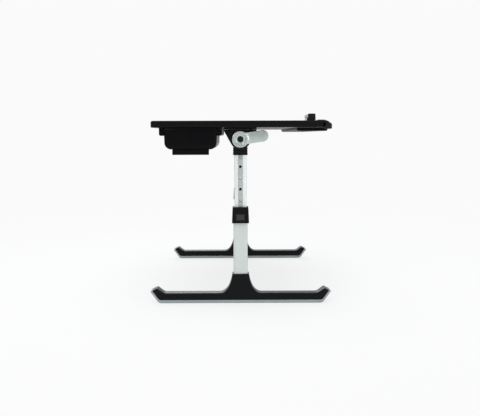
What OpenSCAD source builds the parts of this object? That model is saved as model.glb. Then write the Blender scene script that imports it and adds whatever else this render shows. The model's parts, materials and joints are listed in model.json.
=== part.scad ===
// Folding laptop stand with a drawer under the top.
// Millimetres. Z is up and the floor is Z = 0. X runs along the top, the front
// (wrist rest) is at -Y and the two legs stand in the planes X = -leg_span/2
// and X = +leg_span/2. Left pieces are modelled, right pieces are mirrored.

/* [Top] */
// Length of the top, end to end
top_len = 520; // [500:5:640]
// Depth of the top, front edge to back edge
top_depth = 305; // [285:5:330]
// How far the middle of the top lies in front of the legs
top_forward = 1.8; // [0:0.1:8]
// Height of the working surface above the floor, legs fully out
top_height = 315; // [306:1:335]
// Thickness of the board
panel_t = 10.3; // [9:0.1:14]
// Thickness of the leatherette on the board
skin_t = 1; // [0.6:0.1:1.6]
// Distance of the leatherette's edge from the board's edge
skin_inset = 1.2; // [0.5:0.1:3]
// Corner radius of the top in plan
top_corner_r = 12; // [10:1:36]

/* [Wrist rest] */
// Depth of the padded strip along the front edge
rest_depth = 26; // [22:1:32]
// Height of its crown above the working surface
rest_crown = 1.5; // [1:0.1:4]
// Thickness of the padding in front of the board's edge
rest_nose = 7; // [5:0.5:9]
// How far the padding reaches below the board
rest_lip = 2.7; // [1.5:0.1:4]
// How far the padding is tucked under the board
rest_tuck = 2; // [1:0.5:4]

/* [Front stiffener] */
// Length of the moulded bar under the front edge
stiff_len = 426; // [360:2:440]
// Depth of the bar
stiff_depth = 53.5; // [48:0.5:60]
// Thickness of the bar
stiff_t = 5.8; // [5:0.1:6.5]
// Distance of its front edge from the front of the top
stiff_back = 3.2; // [0.5:0.1:4]

/* [Stopper] */
// Length of the flip-up stopper bar
stop_len = 50; // [40:2:140]
// Height of the raised stopper above the working surface
stop_rise = 18.5; // [15:0.1:19]
// Thickness of the stopper bar
stop_t = 15.4; // [12:0.1:16]
// How far the bar reaches in front of its pin
stop_front = 5.4; // [4:0.1:6.2]
// How far the bar's front leans back at its top
stop_draft = 0.9; // [0:0.1:1.5]
// Radius of the bar's barrel round its pin
stop_barrel_r = 3.3; // [2.8:0.1:3.6]
// Radius of the stopper's pin
stop_pin_r = 1.4; // [1.2:0.1:1.5]
// Depth of the pin's axis below the working surface
stop_pin_drop = 3; // [1.1:0.1:4]
// Distance of the pin from the front of the top
stop_setback = 7.8; // [7.5:0.1:12]
// Thickness of the soft pad that the laptop leans on
pad_t = 2.6; // [2.4:0.1:7]
// Height of the soft pad
pad_h = 6.8; // [5:0.1:7.2]
// Wall of the well that the stopper folds into
well_wall = 2; // [1.5:0.1:3]
// Floor of the well
well_floor = 1; // [0.8:0.1:1.5]

/* [Drawer] */
// Length of the drawer
drawer_len = 180; // [150:2:190]
// Width of the drawer's bin
bin_w = 89; // [70:1:94]
// Depth of the bin below the top
bin_drop = 36.5; // [28:0.1:45]
// Wall of the bin
bin_wall = 2.2; // [1.6:0.1:3]
// Radius of the bin's bottom corners
bin_r = 11; // [6:1:16]
// How far each side of the bin draws in towards its bottom
bin_draft = 0.9; // [0:0.1:2]
// Distance of the drawer's middle behind the leg plane
drawer_y = 83.3; // [80:0.1:90]
// Distance of the drawer's front from the end of the top
drawer_setback = 2; // [1:1:10]
// Width of a rail
rail_w = 7.6; // [7.5:0.1:10]
// Depth of a rail below the board
rail_drop = 13.7; // [12:0.1:18]
// Thickness of the bin's running flange
flange_t = 3; // [2:0.1:3.4]
// How far the flange sticks out of the bin's side
flange_out = 5.2; // [4:0.1:6]
// Gap between the flange and the rail
rail_gap = 0.4; // [0.3:0.05:0.7]
// Travel of the drawer
drawer_travel = 150; // [80:1:150]
// Width of the finger pull
pull_w = 61.5; // [40:0.5:66]
// How far the pull hangs below the bin
pull_drop = 9.1; // [6:0.1:12]
// Thickness of the pull's lip
pull_t = 4; // [3:0.5:6]
// Length of the pull's foot under the bin
pull_foot = 14; // [12:1:20]

/* [Hinge] */
// Distance between the two leg planes
leg_span = 450; // [440:1:452]
// Distance of the tilt axis below the board
axis_drop = 19.7; // [18:0.1:24]
// Distance of the fold axis below the board
fold_drop = 15; // [15:0.5:17]
// Distance of the fold axis inboard of the leg plane
fold_inset = 7; // [5:0.5:7]
// Thickness of the base plate screwed to the board
base_t = 3; // [2.5:0.1:3.5]
// Width of the base plate and of the hinge housing at its top
housing_w = 55.2; // [53:0.2:57]
// Radius of the housing round the tilt axis
housing_r = 17.4; // [15:0.1:18]
// Thickness of each of the housing's cheeks
cheek_t = 7.7; // [7:0.1:8.5]
// Thickness of the housing's side walls, which carry the fold pins
side_t = 3.5; // [3:0.1:5.5]
// Thickness of the ears of the base plate
ear_t = 3.5; // [3:0.5:6]
// Radius of the fold pins
fold_pin_r = 2; // [2:0.1:3.2]
// Radius of the tilt bolt
bolt_r = 3.95; // [3:0.05:4.2]
// Radius of the bolt's head
bolt_head_r = 4.8; // [4.5:0.1:5]
// Width across the flats of the nut
nut_af = 13; // [11:0.5:14]
// Thickness of the nut
nut_t = 5; // [4:0.5:5.5]
// Thickness of a friction washer
washer_t = 1.5; // [1:0.1:2]
// Radius of the friction washers
washer_r = 12; // [9:0.5:13]

/* [Clamp lever] */
// Radius of the lever's hub
lever_hub_r = 14.1; // [12:0.1:15]
// Distance from the hub's centre to the centre of the round tip
lever_reach = 38; // [30:0.5:44]
// Radius of the lever's tip
lever_tip_r = 9.7; // [7:0.1:10]
// Thickness of the hub
lever_hub_t = 9; // [8:0.1:9.5]
// Thickness of the arm
lever_arm_t = 7.4; // [5:0.1:7.8]
// Angle of the closed lever above level
lever_angle = 8.5; // [0:0.5:9]

/* [Leg] */
// Radius of the leg head's drum
drum_r = 12.5; // [11:0.1:14]
// Thickness of the drum
drum_t = 17; // [14:0.1:17.6]
// Width of the leg head's neck
neck_w = 25; // [24:0.1:26]
// Height of the neck
neck_h = 13.1; // [10:0.1:14]
// Width of the inner tube
inner_w = 21.2; // [20.6:0.1:21.4]
// Depth of the inner tube, outer face to inner face
inner_d = 14.7; // [14:0.1:14.9]
// Wall of the inner tube
inner_wall = 1.5; // [1.2:0.1:1.8]
// Width of the groove with the row of holes
groove_w = 8; // [6:0.1:9]
// Depth of the groove
groove_t = 1.2; // [0.6:0.1:1.2]
// Radius of the height holes
hole_r = 2.4; // [2:0.1:2.6]
// Distance between height holes
hole_pitch = 19.5; // [16:0.1:20]
// Number of height settings
hole_count = 5; // [3:1:5]
// Width of the outer tube
outer_w = 24.5; // [24.4:0.1:26]
// Depth of the outer tube
outer_d = 18; // [18:0.1:19]
// Wall of the outer tube
outer_wall = 1.3; // [1:0.1:1.3]
// Height of the outer tube's top above the floor
outer_top = 163.5; // [150:0.5:166]
// Length of inner tube that stays inside the outer tube
overlap = 59; // [50:1:62]

/* [Collar and release] */
// Height of the collar
collar_h = 27.4; // [26:0.1:32]
// Width of the collar at its bottom
collar_w = 29.6; // [29.4:0.1:33]
// Width of the collar at its top
collar_top_w = 27.2; // [26.8:0.1:29]
// Thickness of the collar's lip above the outer tube
collar_lip = 4.2; // [3:0.1:6]
// Wall of the collar on its inboard side
collar_wall = 2.3; // [1.8:0.1:3]
// Thickness of the collar on its outboard side
collar_front = 6.8; // [6.8:0.1:8]
// Width of the release button
button_w = 13.4; // [11:0.1:14]
// Height of the release button
button_h = 9.8; // [8:0.1:10.4]
// Radius of the lock pin
lock_r = 2.2; // [1.6:0.1:2.3]

/* [Foot] */
// Length of a foot, toe to toe
foot_len = 315; // [306:0.5:330]
// Width of a foot
foot_w = 24; // [23:0.5:28]
// Height of the foot bar
foot_h = 17.3; // [15:0.1:19]
// Height of the toes' inner corners
toe_h = 26; // [22:0.5:30]
// Thickness of the sole
sole_t = 5.5; // [3:0.1:6]
// Thickness of the sole on the outside of the toes
sole_toe_t = 3.8; // [2:0.1:4.5]
// Height of the boss that holds the tube
boss_h = 51.2; // [44:0.1:56]
// Width of the boss at its top
boss_w = 29.2; // [28.4:0.1:34]

/* [Fits] */
// Gap between pieces that move past each other
run_gap = 0.3; // [0.25:0.01:0.4]
// Radial gap of pins and bores
pin_gap = 0.05; // [0.02:0.01:0.1]
// Gap between fixed pieces that are dropped or pushed together
seat_gap = 0.05; // [0.02:0.01:0.1]
// Gap of the sliding tubes
tube_gap = 0.15; // [0.1:0.01:0.2]

/* [Screws] */
// Radius of the wood screws
screw_r = 1.5; // [1.2:0.1:1.8]
// Radius of the screws' heads
screw_head_r = 3.1; // [2.6:0.1:3.4]
// Height of the screws' countersunk heads
screw_head_h = 1.7; // [1.2:0.1:2]
// Depth of the screws in the board
screw_bite = 7; // [5:0.5:8]

/* [Hidden] */
$fn = 64;
ARC_STEPS = 8;
EPS = 0.01;
// How far a cut, or the root of a joined form, runs past the face it meets
OVER = 1;

// Radii of moulded edges
fine_r = 0.6;
edge_r = 0.8;
soft_r = 1.6;

// Levels
skin_z = top_height - skin_t;
under_z = skin_z - panel_t;
crown_z = top_height + rest_crown;
lip_z = under_z - rest_lip;
stiff_z = under_z - stiff_t;
axis_z = under_z - axis_drop;
fold_z = under_z - fold_drop;

// Top in plan
front_y = -top_depth / 2 - top_forward;
panel_front_y = front_y + rest_nose;
stiff_y = front_y + stiff_back;
stiff_chamfer = [1.4, 1.8];
stiff_back_r = 3.6;
stiff_screw_rows = [0.16, 0.76];
stiff_screw_ends = [0.08, 0.62];

// Corners of the front edge in (Y, Z), each with its radius: from the crown
// over the round nose to the bottom of the lip
crown_end = 10.9;
nose_fall = 6.5;
crown_r = 14;
nose_r = 4;
lip_r = 2.2;
nose_corners = [
    [front_y + crown_end, crown_z, crown_r],
    [front_y, crown_z - nose_fall, nose_r],
    [front_y, lip_z, lip_r]
];

// Leg frame: u is measured from the leg plane, outboard is negative
leg_x = leg_span / 2;

// Hinge, across the leg plane
washer_gap = 0.15;
cheek_u = drum_t / 2 + washer_t + 2 * washer_gap;
housing_u = cheek_u + cheek_t;
heel_r = fold_drop - base_t - run_gap;
housing_top_z = under_z - base_t - run_gap;
housing_skirt = 2.7;
drum_room = 1.2;
cavity_r = drum_r + drum_room;
side_y = cavity_r + side_t;
pin_wall = 3;
side_bottom_z = fold_z - fold_pin_r - pin_wall;
ear_y = side_y + run_gap;
ear_r = fold_pin_r + pin_wall;
fold_u = fold_inset;
base_out = housing_u + 4;
base_in = fold_u + ear_r + 11;
base_screw_edge = 4;
base_screw_end = 5;
ring_t = 0.6;
ring_w = 1.2;
ring_steps = [-0.8, 2.2];
bolt_head_t = 4;
bolt_recess = 0.8;
bolt_end_gap = 0.2;
bolt_head_gap = 0.35;
socket_depth = 2.4;
lever_gap = 0.4;
lever_face_u = -(housing_u + lever_gap + lever_hub_t);
arm_recess = 0.4;

// Leg head
neck_gap = 1.4;
neck_top_z = axis_z - drum_r - neck_gap;
neck_z = neck_top_z - neck_h;
web_w = 18;
neck_d = inner_d + 4.3;
neck_grooves = [0.36, 0.68];
neck_groove_h = 1;
neck_groove_t = 0.6;
spigot_len = 26;
rivet_r = 1.9;
rivet_head_r = 2.75;
rivet_head_t = 0.95;
rivet_z = neck_z - 5.1;

// Tubes
tube_r = 3;
inner_bottom_z = outer_top - overlap;
bore_w = inner_w - 2 * inner_wall - 1.2;
bore_out = inner_d / 2 - groove_t - inner_wall;
bore_in = inner_d / 2 - inner_wall;
glide_t = 6;
glide_r = 2;
glide_plug = 14;
socket_z = sole_t + 2.5;

// Collar and release rocker, heights above the floor
collar_z = outer_top + collar_lip - collar_h;
collar_u = outer_d / 2 + collar_front;
collar_r = 4;
pocket_skin = 1.6;
pivot_z = collar_z + 11.2;
pivot_u = -(outer_d / 2 + 3);
pivot_r = 1.4;
pivot_reach = 2;
rocker_back_u = -(outer_d / 2 + 1.6);
rocker_t = 1.6;
rocker_top = 11.4;
lock_rise = 7.6;
lock_z = pivot_z + lock_rise;
lock_room = 0.8;
lock_stop = 0.2;
button_z = pivot_z - 6;
window_gap = 0.4;
button_recess = 0.2;
spring_w = 6;
spring_t = 0.25;
spring_len = 4.2;
spring_bow = 0.48;
spring_gap = 0.02;

// Foot
toe_angle = 54;
toe_top_angle = 35.5;
toe_depth = 11.6;
toe_fall = 5.5;
foot_bend_r = 12;
sole_bend_r = 9;
sole_seat_r = 7;
boss_foot_y = 37;
boss_flare_y = 22;
boss_neck = [16.6, 14.5];
boss_chamfer = [1, 1.5];
foot_screw_y = 6;
foot_screw_up = 6;
foot_screw_head_t = 1.6;
foot_screw_sink = 0.2;

// Stopper, raised
stop_y = front_y + stop_setback;
stop_z = top_height - stop_pin_drop;
stop_top_z = top_height + stop_rise;
stop_foot_drop = 2;
stop_foot_z = stop_z - stop_foot_drop;
stop_foot_r = 2;
stop_back_r = 1;
ledge_r = 1.2;
pad_end = 1;
pad_top_r = 2.4;
pad_low_r = 1.4;
stop_back = stop_t - stop_front;
pad_z = stop_top_z - pad_h - 1.1;
ledge_z = top_height + 3.3;
ledge_back = stop_back + pad_t;

// Well, round the sweep of the stopper and its pad
well_gap = 0.5;
well_side = 1.5;
well_fit = 0.2;
well_r = 1.5;
well_lip_r = 0.5;
well_pin_skin = 0.6;
well_sweep = norm([stop_back + pad_t, stop_top_z - stop_z]) + well_gap;
well_half = stop_len / 2 + well_side + well_wall;
well_front_y = stop_y - stop_front - well_gap;
well_back_y = stop_y + well_sweep + well_wall;
well_bottom_z = min(stop_z - stop_back - pad_t - well_gap - well_floor, stiff_z);
// Below the raised bar's foot the front wall is thicker
well_foot_y = stop_y - stop_foot_drop - well_gap;
well_foot_z = stop_foot_z - well_gap;

// Drawer
drawer_x = -top_len / 2 + drawer_setback;
drawer_end_x = drawer_x + drawer_len;
bin_top_z = under_z - 0.6;
bin_bottom_z = under_z - bin_drop;
flange_z = under_z - 7;
catch_t = 1;
catch_len = 4;
stop_block = 6;
rail_end = 2.5;
slot_low_z = flange_z - rail_gap;
slot_high_z = flange_z + flange_t + catch_t + rail_gap;
catch_x = drawer_x + stop_block + drawer_travel + run_gap;
bin_open = 5;
rail_edge_r = 3;
// The rails' screws sit in the ceiling of the running slot
rail_screw_shares = [0.12, 0.5, 0.88];
rail_screw_head_r = flange_out / 2 - 0.2;
rail_screw_r = rail_screw_head_r / 2;
pull_plate_t = 2.5;
pull_r = 1.2;
pull_bend_r = 2.5;
pull_screw_back = 5;
pull_screw_end = 9;
pull_screw_short = 0.3;

// ---------------------------------------------------------------- helpers

function unit(v) = v / norm(v);
function turned(v, a) = [v.x * cos(a) - v.y * sin(a), v.x * sin(a) + v.y * cos(a)];

// Points of a fillet of radius r at b, between the lines to a and to c
function fillet(a, b, c, r) =
    r <= 0 ? [b] :
    let (
        p = unit(a - b),
        q = unit(c - b),
        half = acos(max(-1, min(1, p * q))) / 2,
        centre = b + unit(p + q) * r / sin(half),
        start = b + p * r / tan(half) - centre,
        way = (p.x * q.y - p.y * q.x) > 0 ? -1 : 1
    )
    [for (i = [0:ARC_STEPS]) centre + turned(start, way * (180 - 2 * half) * i / ARC_STEPS)];

// A closed outline from corners [x, y, radius]
function rounded(corners) = [
    for (i = [0:len(corners) - 1])
        let (
            n = len(corners),
            a = corners[(i + n - 1) % n],
            b = corners[i],
            c = corners[(i + 1) % n]
        )
        each fillet([a.x, a.y], [b.x, b.y], [c.x, c.y], b[2])
];

// A cubic curve between p0 and p3
function curve(p0, p1, p2, p3, steps) = [
    for (i = [0:steps])
        let (t = i / steps, s = 1 - t)
        p0 * pow(s, 3) + p1 * 3 * s * s * t + p2 * 3 * s * t * t + p3 * pow(t, 3)
];

function mirrored(points) = [for (i = [len(points) - 1:-1:0]) [-points[i].x, points[i].y]];

// A rectangle with true round corners, centred
module round_rect(w, h, r) {
    union() {
        square([w, h - 2 * r], center = true);
        square([w - 2 * r, h], center = true);
        for (x = [-1, 1], y = [-1, 1])
            translate([x * (w / 2 - r), y * (h / 2 - r)]) circle(r);
    }
}

// Carry an outline drawn in (Y, Z) along X, from x0 to x1
module along_x(x0, x1) {
    translate([x0, 0, 0]) rotate([90, 0, 90]) linear_extrude(x1 - x0) children();
}

// Carry an outline drawn in (X, Z) along Y, from y0 to y1
module along_y(y0, y1) {
    translate([0, y1, 0]) rotate([90, 0, 0]) linear_extrude(y1 - y0) children();
}

// A cylinder along X, from x0 to x1
module rod_x(x0, x1, r) {
    translate([x0, 0, 0]) rotate([0, 90, 0]) cylinder(h = x1 - x0, r = r);
}

// A cylinder along Y, from y0 to y1
module rod_y(y0, y1, r) {
    translate([0, y0, 0]) rotate([-90, 0, 0]) cylinder(h = y1 - y0, r = r);
}

module at_leg() { translate([-leg_x, 0, 0]) children(); }
module other_side() { mirror([1, 0, 0]) children(); }

// A countersunk wood screw driven upwards, its head flush with z = 0
module wood_screw(length, r = screw_r, head_r = screw_head_r) {
    union() {
        cylinder(h = screw_head_h, r1 = head_r, r2 = r);
        cylinder(h = length, r = r);
    }
}

// The hole for such a screw
module screw_hole(length, r = screw_r, head_r = screw_head_r) {
    union() {
        translate([0, 0, -EPS])
            cylinder(h = screw_head_h + EPS, r1 = head_r + seat_gap, r2 = r + seat_gap);
        cylinder(h = length + seat_gap, r = r + seat_gap);
    }
}

// ------------------------------------------------------------------- top

module top_outline(inset) {
    translate([0, -top_forward])
        round_rect(top_len - 2 * inset, top_depth - 2 * inset, top_corner_r - inset);
}

// Plan of the opening for the stopper's well, in the board or the bar below it
module well_plan(gap) {
    translate([-well_half - gap, front_y - OVER])
        square([2 * (well_half + gap), well_back_y + gap - front_y + OVER]);
}

module at_stiffener_screws() {
    for (side = [-1, 1], inboard = stiff_screw_ends, row = stiff_screw_rows)
        translate([side * stiff_len / 2 * (1 - inboard), stiff_y + stiff_depth * (1 - row), 0])
            children();
}

module at_base_screws() {
    for (side = [-1, 1], u = [base_screw_edge - cheek_u, base_in - base_screw_end], y = [-1, 1])
        translate([side * (leg_x - u), y * (housing_w / 2 - base_screw_edge), 0]) children();
}

module at_rail_screws() {
    for (side = [-1, 1], x = rail_screw_shares)
        translate([drawer_x + x * drawer_len,
                   drawer_y + side * (bin_w / 2 + rail_gap + flange_out / 2), 0]) children();
}

module top_panel() {
    color([0.09, 0.09, 0.1]) difference() {
        translate([0, 0, under_z]) linear_extrude(panel_t) difference() {
            top_outline(0);
            translate([-top_len, front_y - top_depth])
                square([2 * top_len, top_depth + rest_nose + seat_gap]);
            well_plan(well_fit);
        }
        translate([0, 0, under_z - EPS]) {
            at_stiffener_screws() cylinder(h = screw_bite + EPS, r = screw_r + seat_gap);
            at_base_screws() cylinder(h = screw_bite + EPS, r = screw_r + seat_gap);
            at_rail_screws() cylinder(h = screw_bite + EPS, r = rail_screw_r + seat_gap);
        }
    }
}

module top_skin() {
    color([0.07, 0.07, 0.075])
        translate([0, 0, skin_z]) linear_extrude(skin_t) difference() {
            top_outline(skin_inset);
            translate([-top_len, front_y - top_depth])
                square([2 * top_len, top_depth + rest_depth]);
            well_plan(well_fit);
        }
}

// Section of the wrist rest: crown, nose and a lip tucked under the board
function rest_section() =
    let (
        back = front_y + rest_depth - seat_gap,
        tuck = panel_front_y + rest_tuck
    )
    rounded(concat(
        [[back, skin_z + seat_gap, 0], [back, crown_z, rest_crown + fine_r]],
        nose_corners,
        [
            [tuck, lip_z, fine_r],
            [tuck, under_z - seat_gap, 0],
            [panel_front_y, under_z - seat_gap, 0],
            [panel_front_y, skin_z + seat_gap, 0]
        ]
    ));

// Padded strip from the end of the top to the stopper's well
module wrist_rest() {
    color([0.08, 0.08, 0.085]) intersection() {
        along_x(-top_len / 2, -well_half - well_fit) polygon(rest_section());
        translate([0, 0, lip_z - OVER]) linear_extrude(top_height) top_outline(0);
    }
}

module left_wrist_rest() { wrist_rest(); }
module right_wrist_rest() { other_side() wrist_rest(); }

// Bar under the front edge: a step in front for the wrist rest's lip
module front_stiffener() {
    far = stiff_y + stiff_depth;
    lip = panel_front_y + rest_tuck + seat_gap;
    section = rounded([
        [far, under_z, 0],
        [lip, under_z, 0],
        [lip, lip_z - seat_gap, 0],
        [stiff_y, lip_z - seat_gap, 0],
        [stiff_y, stiff_z + stiff_chamfer[1], fine_r],
        [stiff_y + stiff_chamfer[0], stiff_z, fine_r],
        [far, stiff_z, stiff_back_r]
    ]);
    color([0.07, 0.07, 0.075]) difference() {
        along_x(-stiff_len / 2, stiff_len / 2) polygon(section);
        translate([0, 0, stiff_z - OVER]) linear_extrude(2 * stiff_t) well_plan(well_fit);
        translate([0, 0, stiff_z]) at_stiffener_screws() screw_hole(2 * stiff_t);
    }
}

module stiffener_screws() {
    color([0.2, 0.2, 0.2]) translate([0, 0, stiff_z])
        at_stiffener_screws() wood_screw(stiff_t + screw_bite);
}

// --------------------------------------------------------------- stopper

// Section of the well: the wrist rest's front edge, level with the working
// surface behind it
function well_section() =
    rounded(concat(
        [
            [well_back_y, well_bottom_z, well_r],
            [well_back_y, top_height, well_lip_r],
            [front_y + rest_depth, top_height, 0],
            [front_y + rest_depth, crown_z, rest_crown * 0.8]
        ],
        nose_corners,
        [[stiff_y, lip_z, 0], [stiff_y, well_bottom_z, well_r]]
    ));

// Tub that fills the opening in the front edge, open at its top
module stopper_well() {
    color([0.06, 0.06, 0.065]) difference() {
        along_x(-well_half, well_half) polygon(well_section());
        translate([-well_half + well_wall, well_front_y, well_foot_z])
            cube([2 * (well_half - well_wall), well_back_y - well_wall - well_front_y, top_height]);
        translate([-well_half + well_wall, well_foot_y, well_bottom_z + well_floor])
            cube([2 * (well_half - well_wall), well_back_y - well_wall - well_foot_y, top_height]);
        translate([0, stop_y, stop_z])
            rod_x(-well_half + well_pin_skin, well_half - well_pin_skin, stop_pin_r + pin_gap);
    }
}

module stopper_pin() {
    half = well_half - well_pin_skin - seat_gap;
    color([0.6, 0.6, 0.62]) translate([0, stop_y, stop_z]) rod_x(-half, half, stop_pin_r);
}

// Raised stopper bar: a barrel round the pin, a bar above it and a ledge
// behind the bar for the pad
module stopper_bar() {
    color([0.03, 0.03, 0.035]) difference() {
        union() {
            along_x(-stop_len / 2, stop_len / 2) polygon(rounded([
                [stop_y - stop_front, stop_foot_z, soft_r],
                [stop_y - stop_front + stop_draft, stop_top_z, soft_r],
                [stop_y + stop_back, stop_top_z, stop_back_r],
                [stop_y + stop_back, pad_z, 0],
                [stop_y + ledge_back, pad_z, ledge_r],
                [stop_y + ledge_back, ledge_z, ledge_r],
                [stop_y + stop_back, ledge_z, edge_r],
                [stop_y + stop_back, stop_foot_z, stop_foot_r]
            ]));
            translate([0, stop_y, stop_z]) rod_x(-stop_len / 2, stop_len / 2, stop_barrel_r);
        }
        translate([0, stop_y, stop_z]) rod_x(-stop_len, stop_len, stop_pin_r + pin_gap);
    }
}

// Soft pad on the ledge, against the back of the bar
module stopper_pad() {
    y = stop_y + stop_back;
    color([0.75, 0.78, 0.76]) along_x(-stop_len / 2 + pad_end, stop_len / 2 - pad_end)
        polygon(rounded([
            [y, pad_z, 0],
            [y, pad_z + pad_h, 0],
            [y + pad_t, pad_z + pad_h, pad_top_r],
            [y + pad_t, pad_z, pad_low_r]
        ]));
}

// ---------------------------------------------------------------- drawer

// One rail; side is 1 at the back and -1 at the front
module rail(side) {
    inner = drawer_y + side * (bin_w / 2 + rail_gap);
    outer = inner + side * rail_w;
    slot = drawer_y + side * (bin_w / 2 + flange_out + rail_gap);
    low = under_z - rail_drop;
    color([0.07, 0.07, 0.075]) difference() {
        along_x(drawer_x, drawer_end_x + rail_end) polygon(rounded([
            [inner, under_z, 0],
            [outer, under_z, 0],
            [outer, low, rail_edge_r],
            [inner, low, edge_r]
        ]));
        // running slot, lower at the mouth so that the catch stops there
        translate([drawer_x - OVER, min(inner - side * OVER, slot), slot_low_z])
            cube([drawer_len + OVER + run_gap, abs(slot - inner) + OVER,
                  flange_t + 2 * rail_gap]);
        translate([drawer_x + stop_block, min(inner - side * OVER, slot), slot_low_z])
            cube([drawer_len - stop_block + run_gap, abs(slot - inner) + OVER,
                  slot_high_z - slot_low_z]);
        translate([0, 0, slot_high_z]) at_rail_screws()
            screw_hole(rail_drop, rail_screw_r, rail_screw_head_r);
    }
}

module drawer_rail_back() { rail(1); }
module drawer_rail_front() { rail(-1); }

module rail_screws() {
    color([0.2, 0.2, 0.2]) translate([0, 0, slot_high_z]) at_rail_screws()
        wood_screw(under_z - slot_high_z + screw_bite, rail_screw_r, rail_screw_head_r);
}

// Section of the bin in (Y, Z), drawn in by wall on its sides and bottom
module bin_section(wall) {
    half = bin_w / 2 - wall;
    foot = half - bin_draft;
    low = bin_bottom_z + wall;
    high = bin_top_z + (wall > 0 ? bin_open : 0);
    translate([drawer_y, 0]) polygon(rounded([
        [-half, high, 0],
        [-foot, low, bin_r - wall],
        [foot, low, bin_r - wall],
        [half, high, 0]
    ]));
}

module at_pull_screws() {
    for (side = [-1, 1])
        translate([drawer_x + pull_foot - pull_screw_back,
                   drawer_y + side * (pull_w / 2 - pull_screw_end), 0]) children();
}

module drawer_bin() {
    color([0.06, 0.06, 0.065]) difference() {
        union() {
            along_x(drawer_x, drawer_end_x) bin_section(0);
            for (side = [-1, 1]) {
                edge = drawer_y + side * (bin_w / 2 + flange_out);
                root = drawer_y + side * (bin_w - bin_wall) / 2;
                translate([drawer_x, min(edge, root), flange_z])
                    cube([drawer_len, abs(edge - root), flange_t]);
                translate([catch_x, min(edge, root), flange_z + flange_t - EPS])
                    cube([catch_len, abs(edge - root), catch_t + EPS]);
            }
        }
        along_x(drawer_x + bin_wall, drawer_end_x - bin_wall) bin_section(bin_wall);
        translate([0, 0, bin_bottom_z - EPS]) at_pull_screws()
            cylinder(h = bin_wall + OVER, r = screw_r + seat_gap);
    }
}

module drawer_pull() {
    edge = bin_bottom_z - pull_drop;
    color([0.06, 0.06, 0.065]) difference() {
        along_y(drawer_y - pull_w / 2, drawer_y + pull_w / 2) polygon(rounded([
            [drawer_x, bin_bottom_z, 0],
            [drawer_x, edge, edge_r],
            [drawer_x + pull_t, edge, pull_r],
            [drawer_x + pull_t, bin_bottom_z - pull_plate_t, pull_bend_r],
            [drawer_x + pull_foot, bin_bottom_z - pull_plate_t, edge_r],
            [drawer_x + pull_foot, bin_bottom_z, 0]
        ]));
        translate([0, 0, bin_bottom_z - pull_plate_t]) at_pull_screws() screw_hole(2 * pull_plate_t);
    }
}

module pull_screws() {
    color([0.2, 0.2, 0.2]) translate([0, 0, bin_bottom_z - pull_plate_t])
        at_pull_screws() wood_screw(pull_plate_t + bin_wall - pull_screw_short);
}

// ----------------------------------------------------------------- hinge

// Plate under the board with two ears that hold the fold pins
module hinge_base() {
    color([0.08, 0.08, 0.085]) at_leg() difference() {
        union() {
            translate([-base_out, -housing_w / 2, under_z - base_t])
                cube([base_out + base_in, housing_w, base_t]);
            for (side = [-1, 1]) {
                y0 = side > 0 ? ear_y : -ear_y - ear_t;
                translate([fold_u - ear_r, y0, fold_z])
                    cube([2 * ear_r, ear_t, under_z - fold_z - EPS]);
                translate([fold_u, 0, fold_z]) rod_y(y0, y0 + ear_t, ear_r);
            }
        }
        translate([fold_u, 0, fold_z])
            rod_y(-housing_w, housing_w, fold_pin_r + seat_gap);
        translate([leg_x, 0, under_z - base_t]) at_base_screws() screw_hole(2 * base_t);
    }
}

module fold_pins() {
    color([0.6, 0.6, 0.62]) at_leg() translate([fold_u, 0, fold_z])
        for (side = [-1, 1]) {
            y0 = cavity_r + run_gap;
            y1 = ear_y + ear_t;
            rod_y(side > 0 ? y0 : -y1, side > 0 ? y1 : -y0, fold_pin_r);
        }
}

module left_hinge_base() { hinge_base(); }
module right_hinge_base() { other_side() hinge_base(); }
module left_fold_pins() { fold_pins(); }
module right_fold_pins() { other_side() fold_pins(); }

module hinge_base_screws() {
    color([0.2, 0.2, 0.2]) translate([0, 0, under_z - base_t])
        at_base_screws() wood_screw(base_t + screw_bite);
}

// Face of a cheek in (Y, Z): wide at its top, drawn tight round the tilt axis
module cheek_face() {
    half = housing_w / 2;
    shoulder = housing_top_z - housing_skirt - axis_z;
    slope = atan2(shoulder, half) - acos(housing_r / norm([half, shoulder]));
    touch = [housing_r * cos(slope), housing_r * sin(slope)];
    union() {
        polygon([
            [-half, housing_top_z], [-half, axis_z + shoulder],
            [-touch.x, axis_z + touch.y], [touch.x, axis_z + touch.y],
            [half, axis_z + shoulder], [half, housing_top_z]
        ]);
        intersection() {
            translate([0, axis_z]) circle(housing_r);
            translate([-half, 0]) square([2 * half, axis_z + shoulder]);
        }
    }
}

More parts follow.
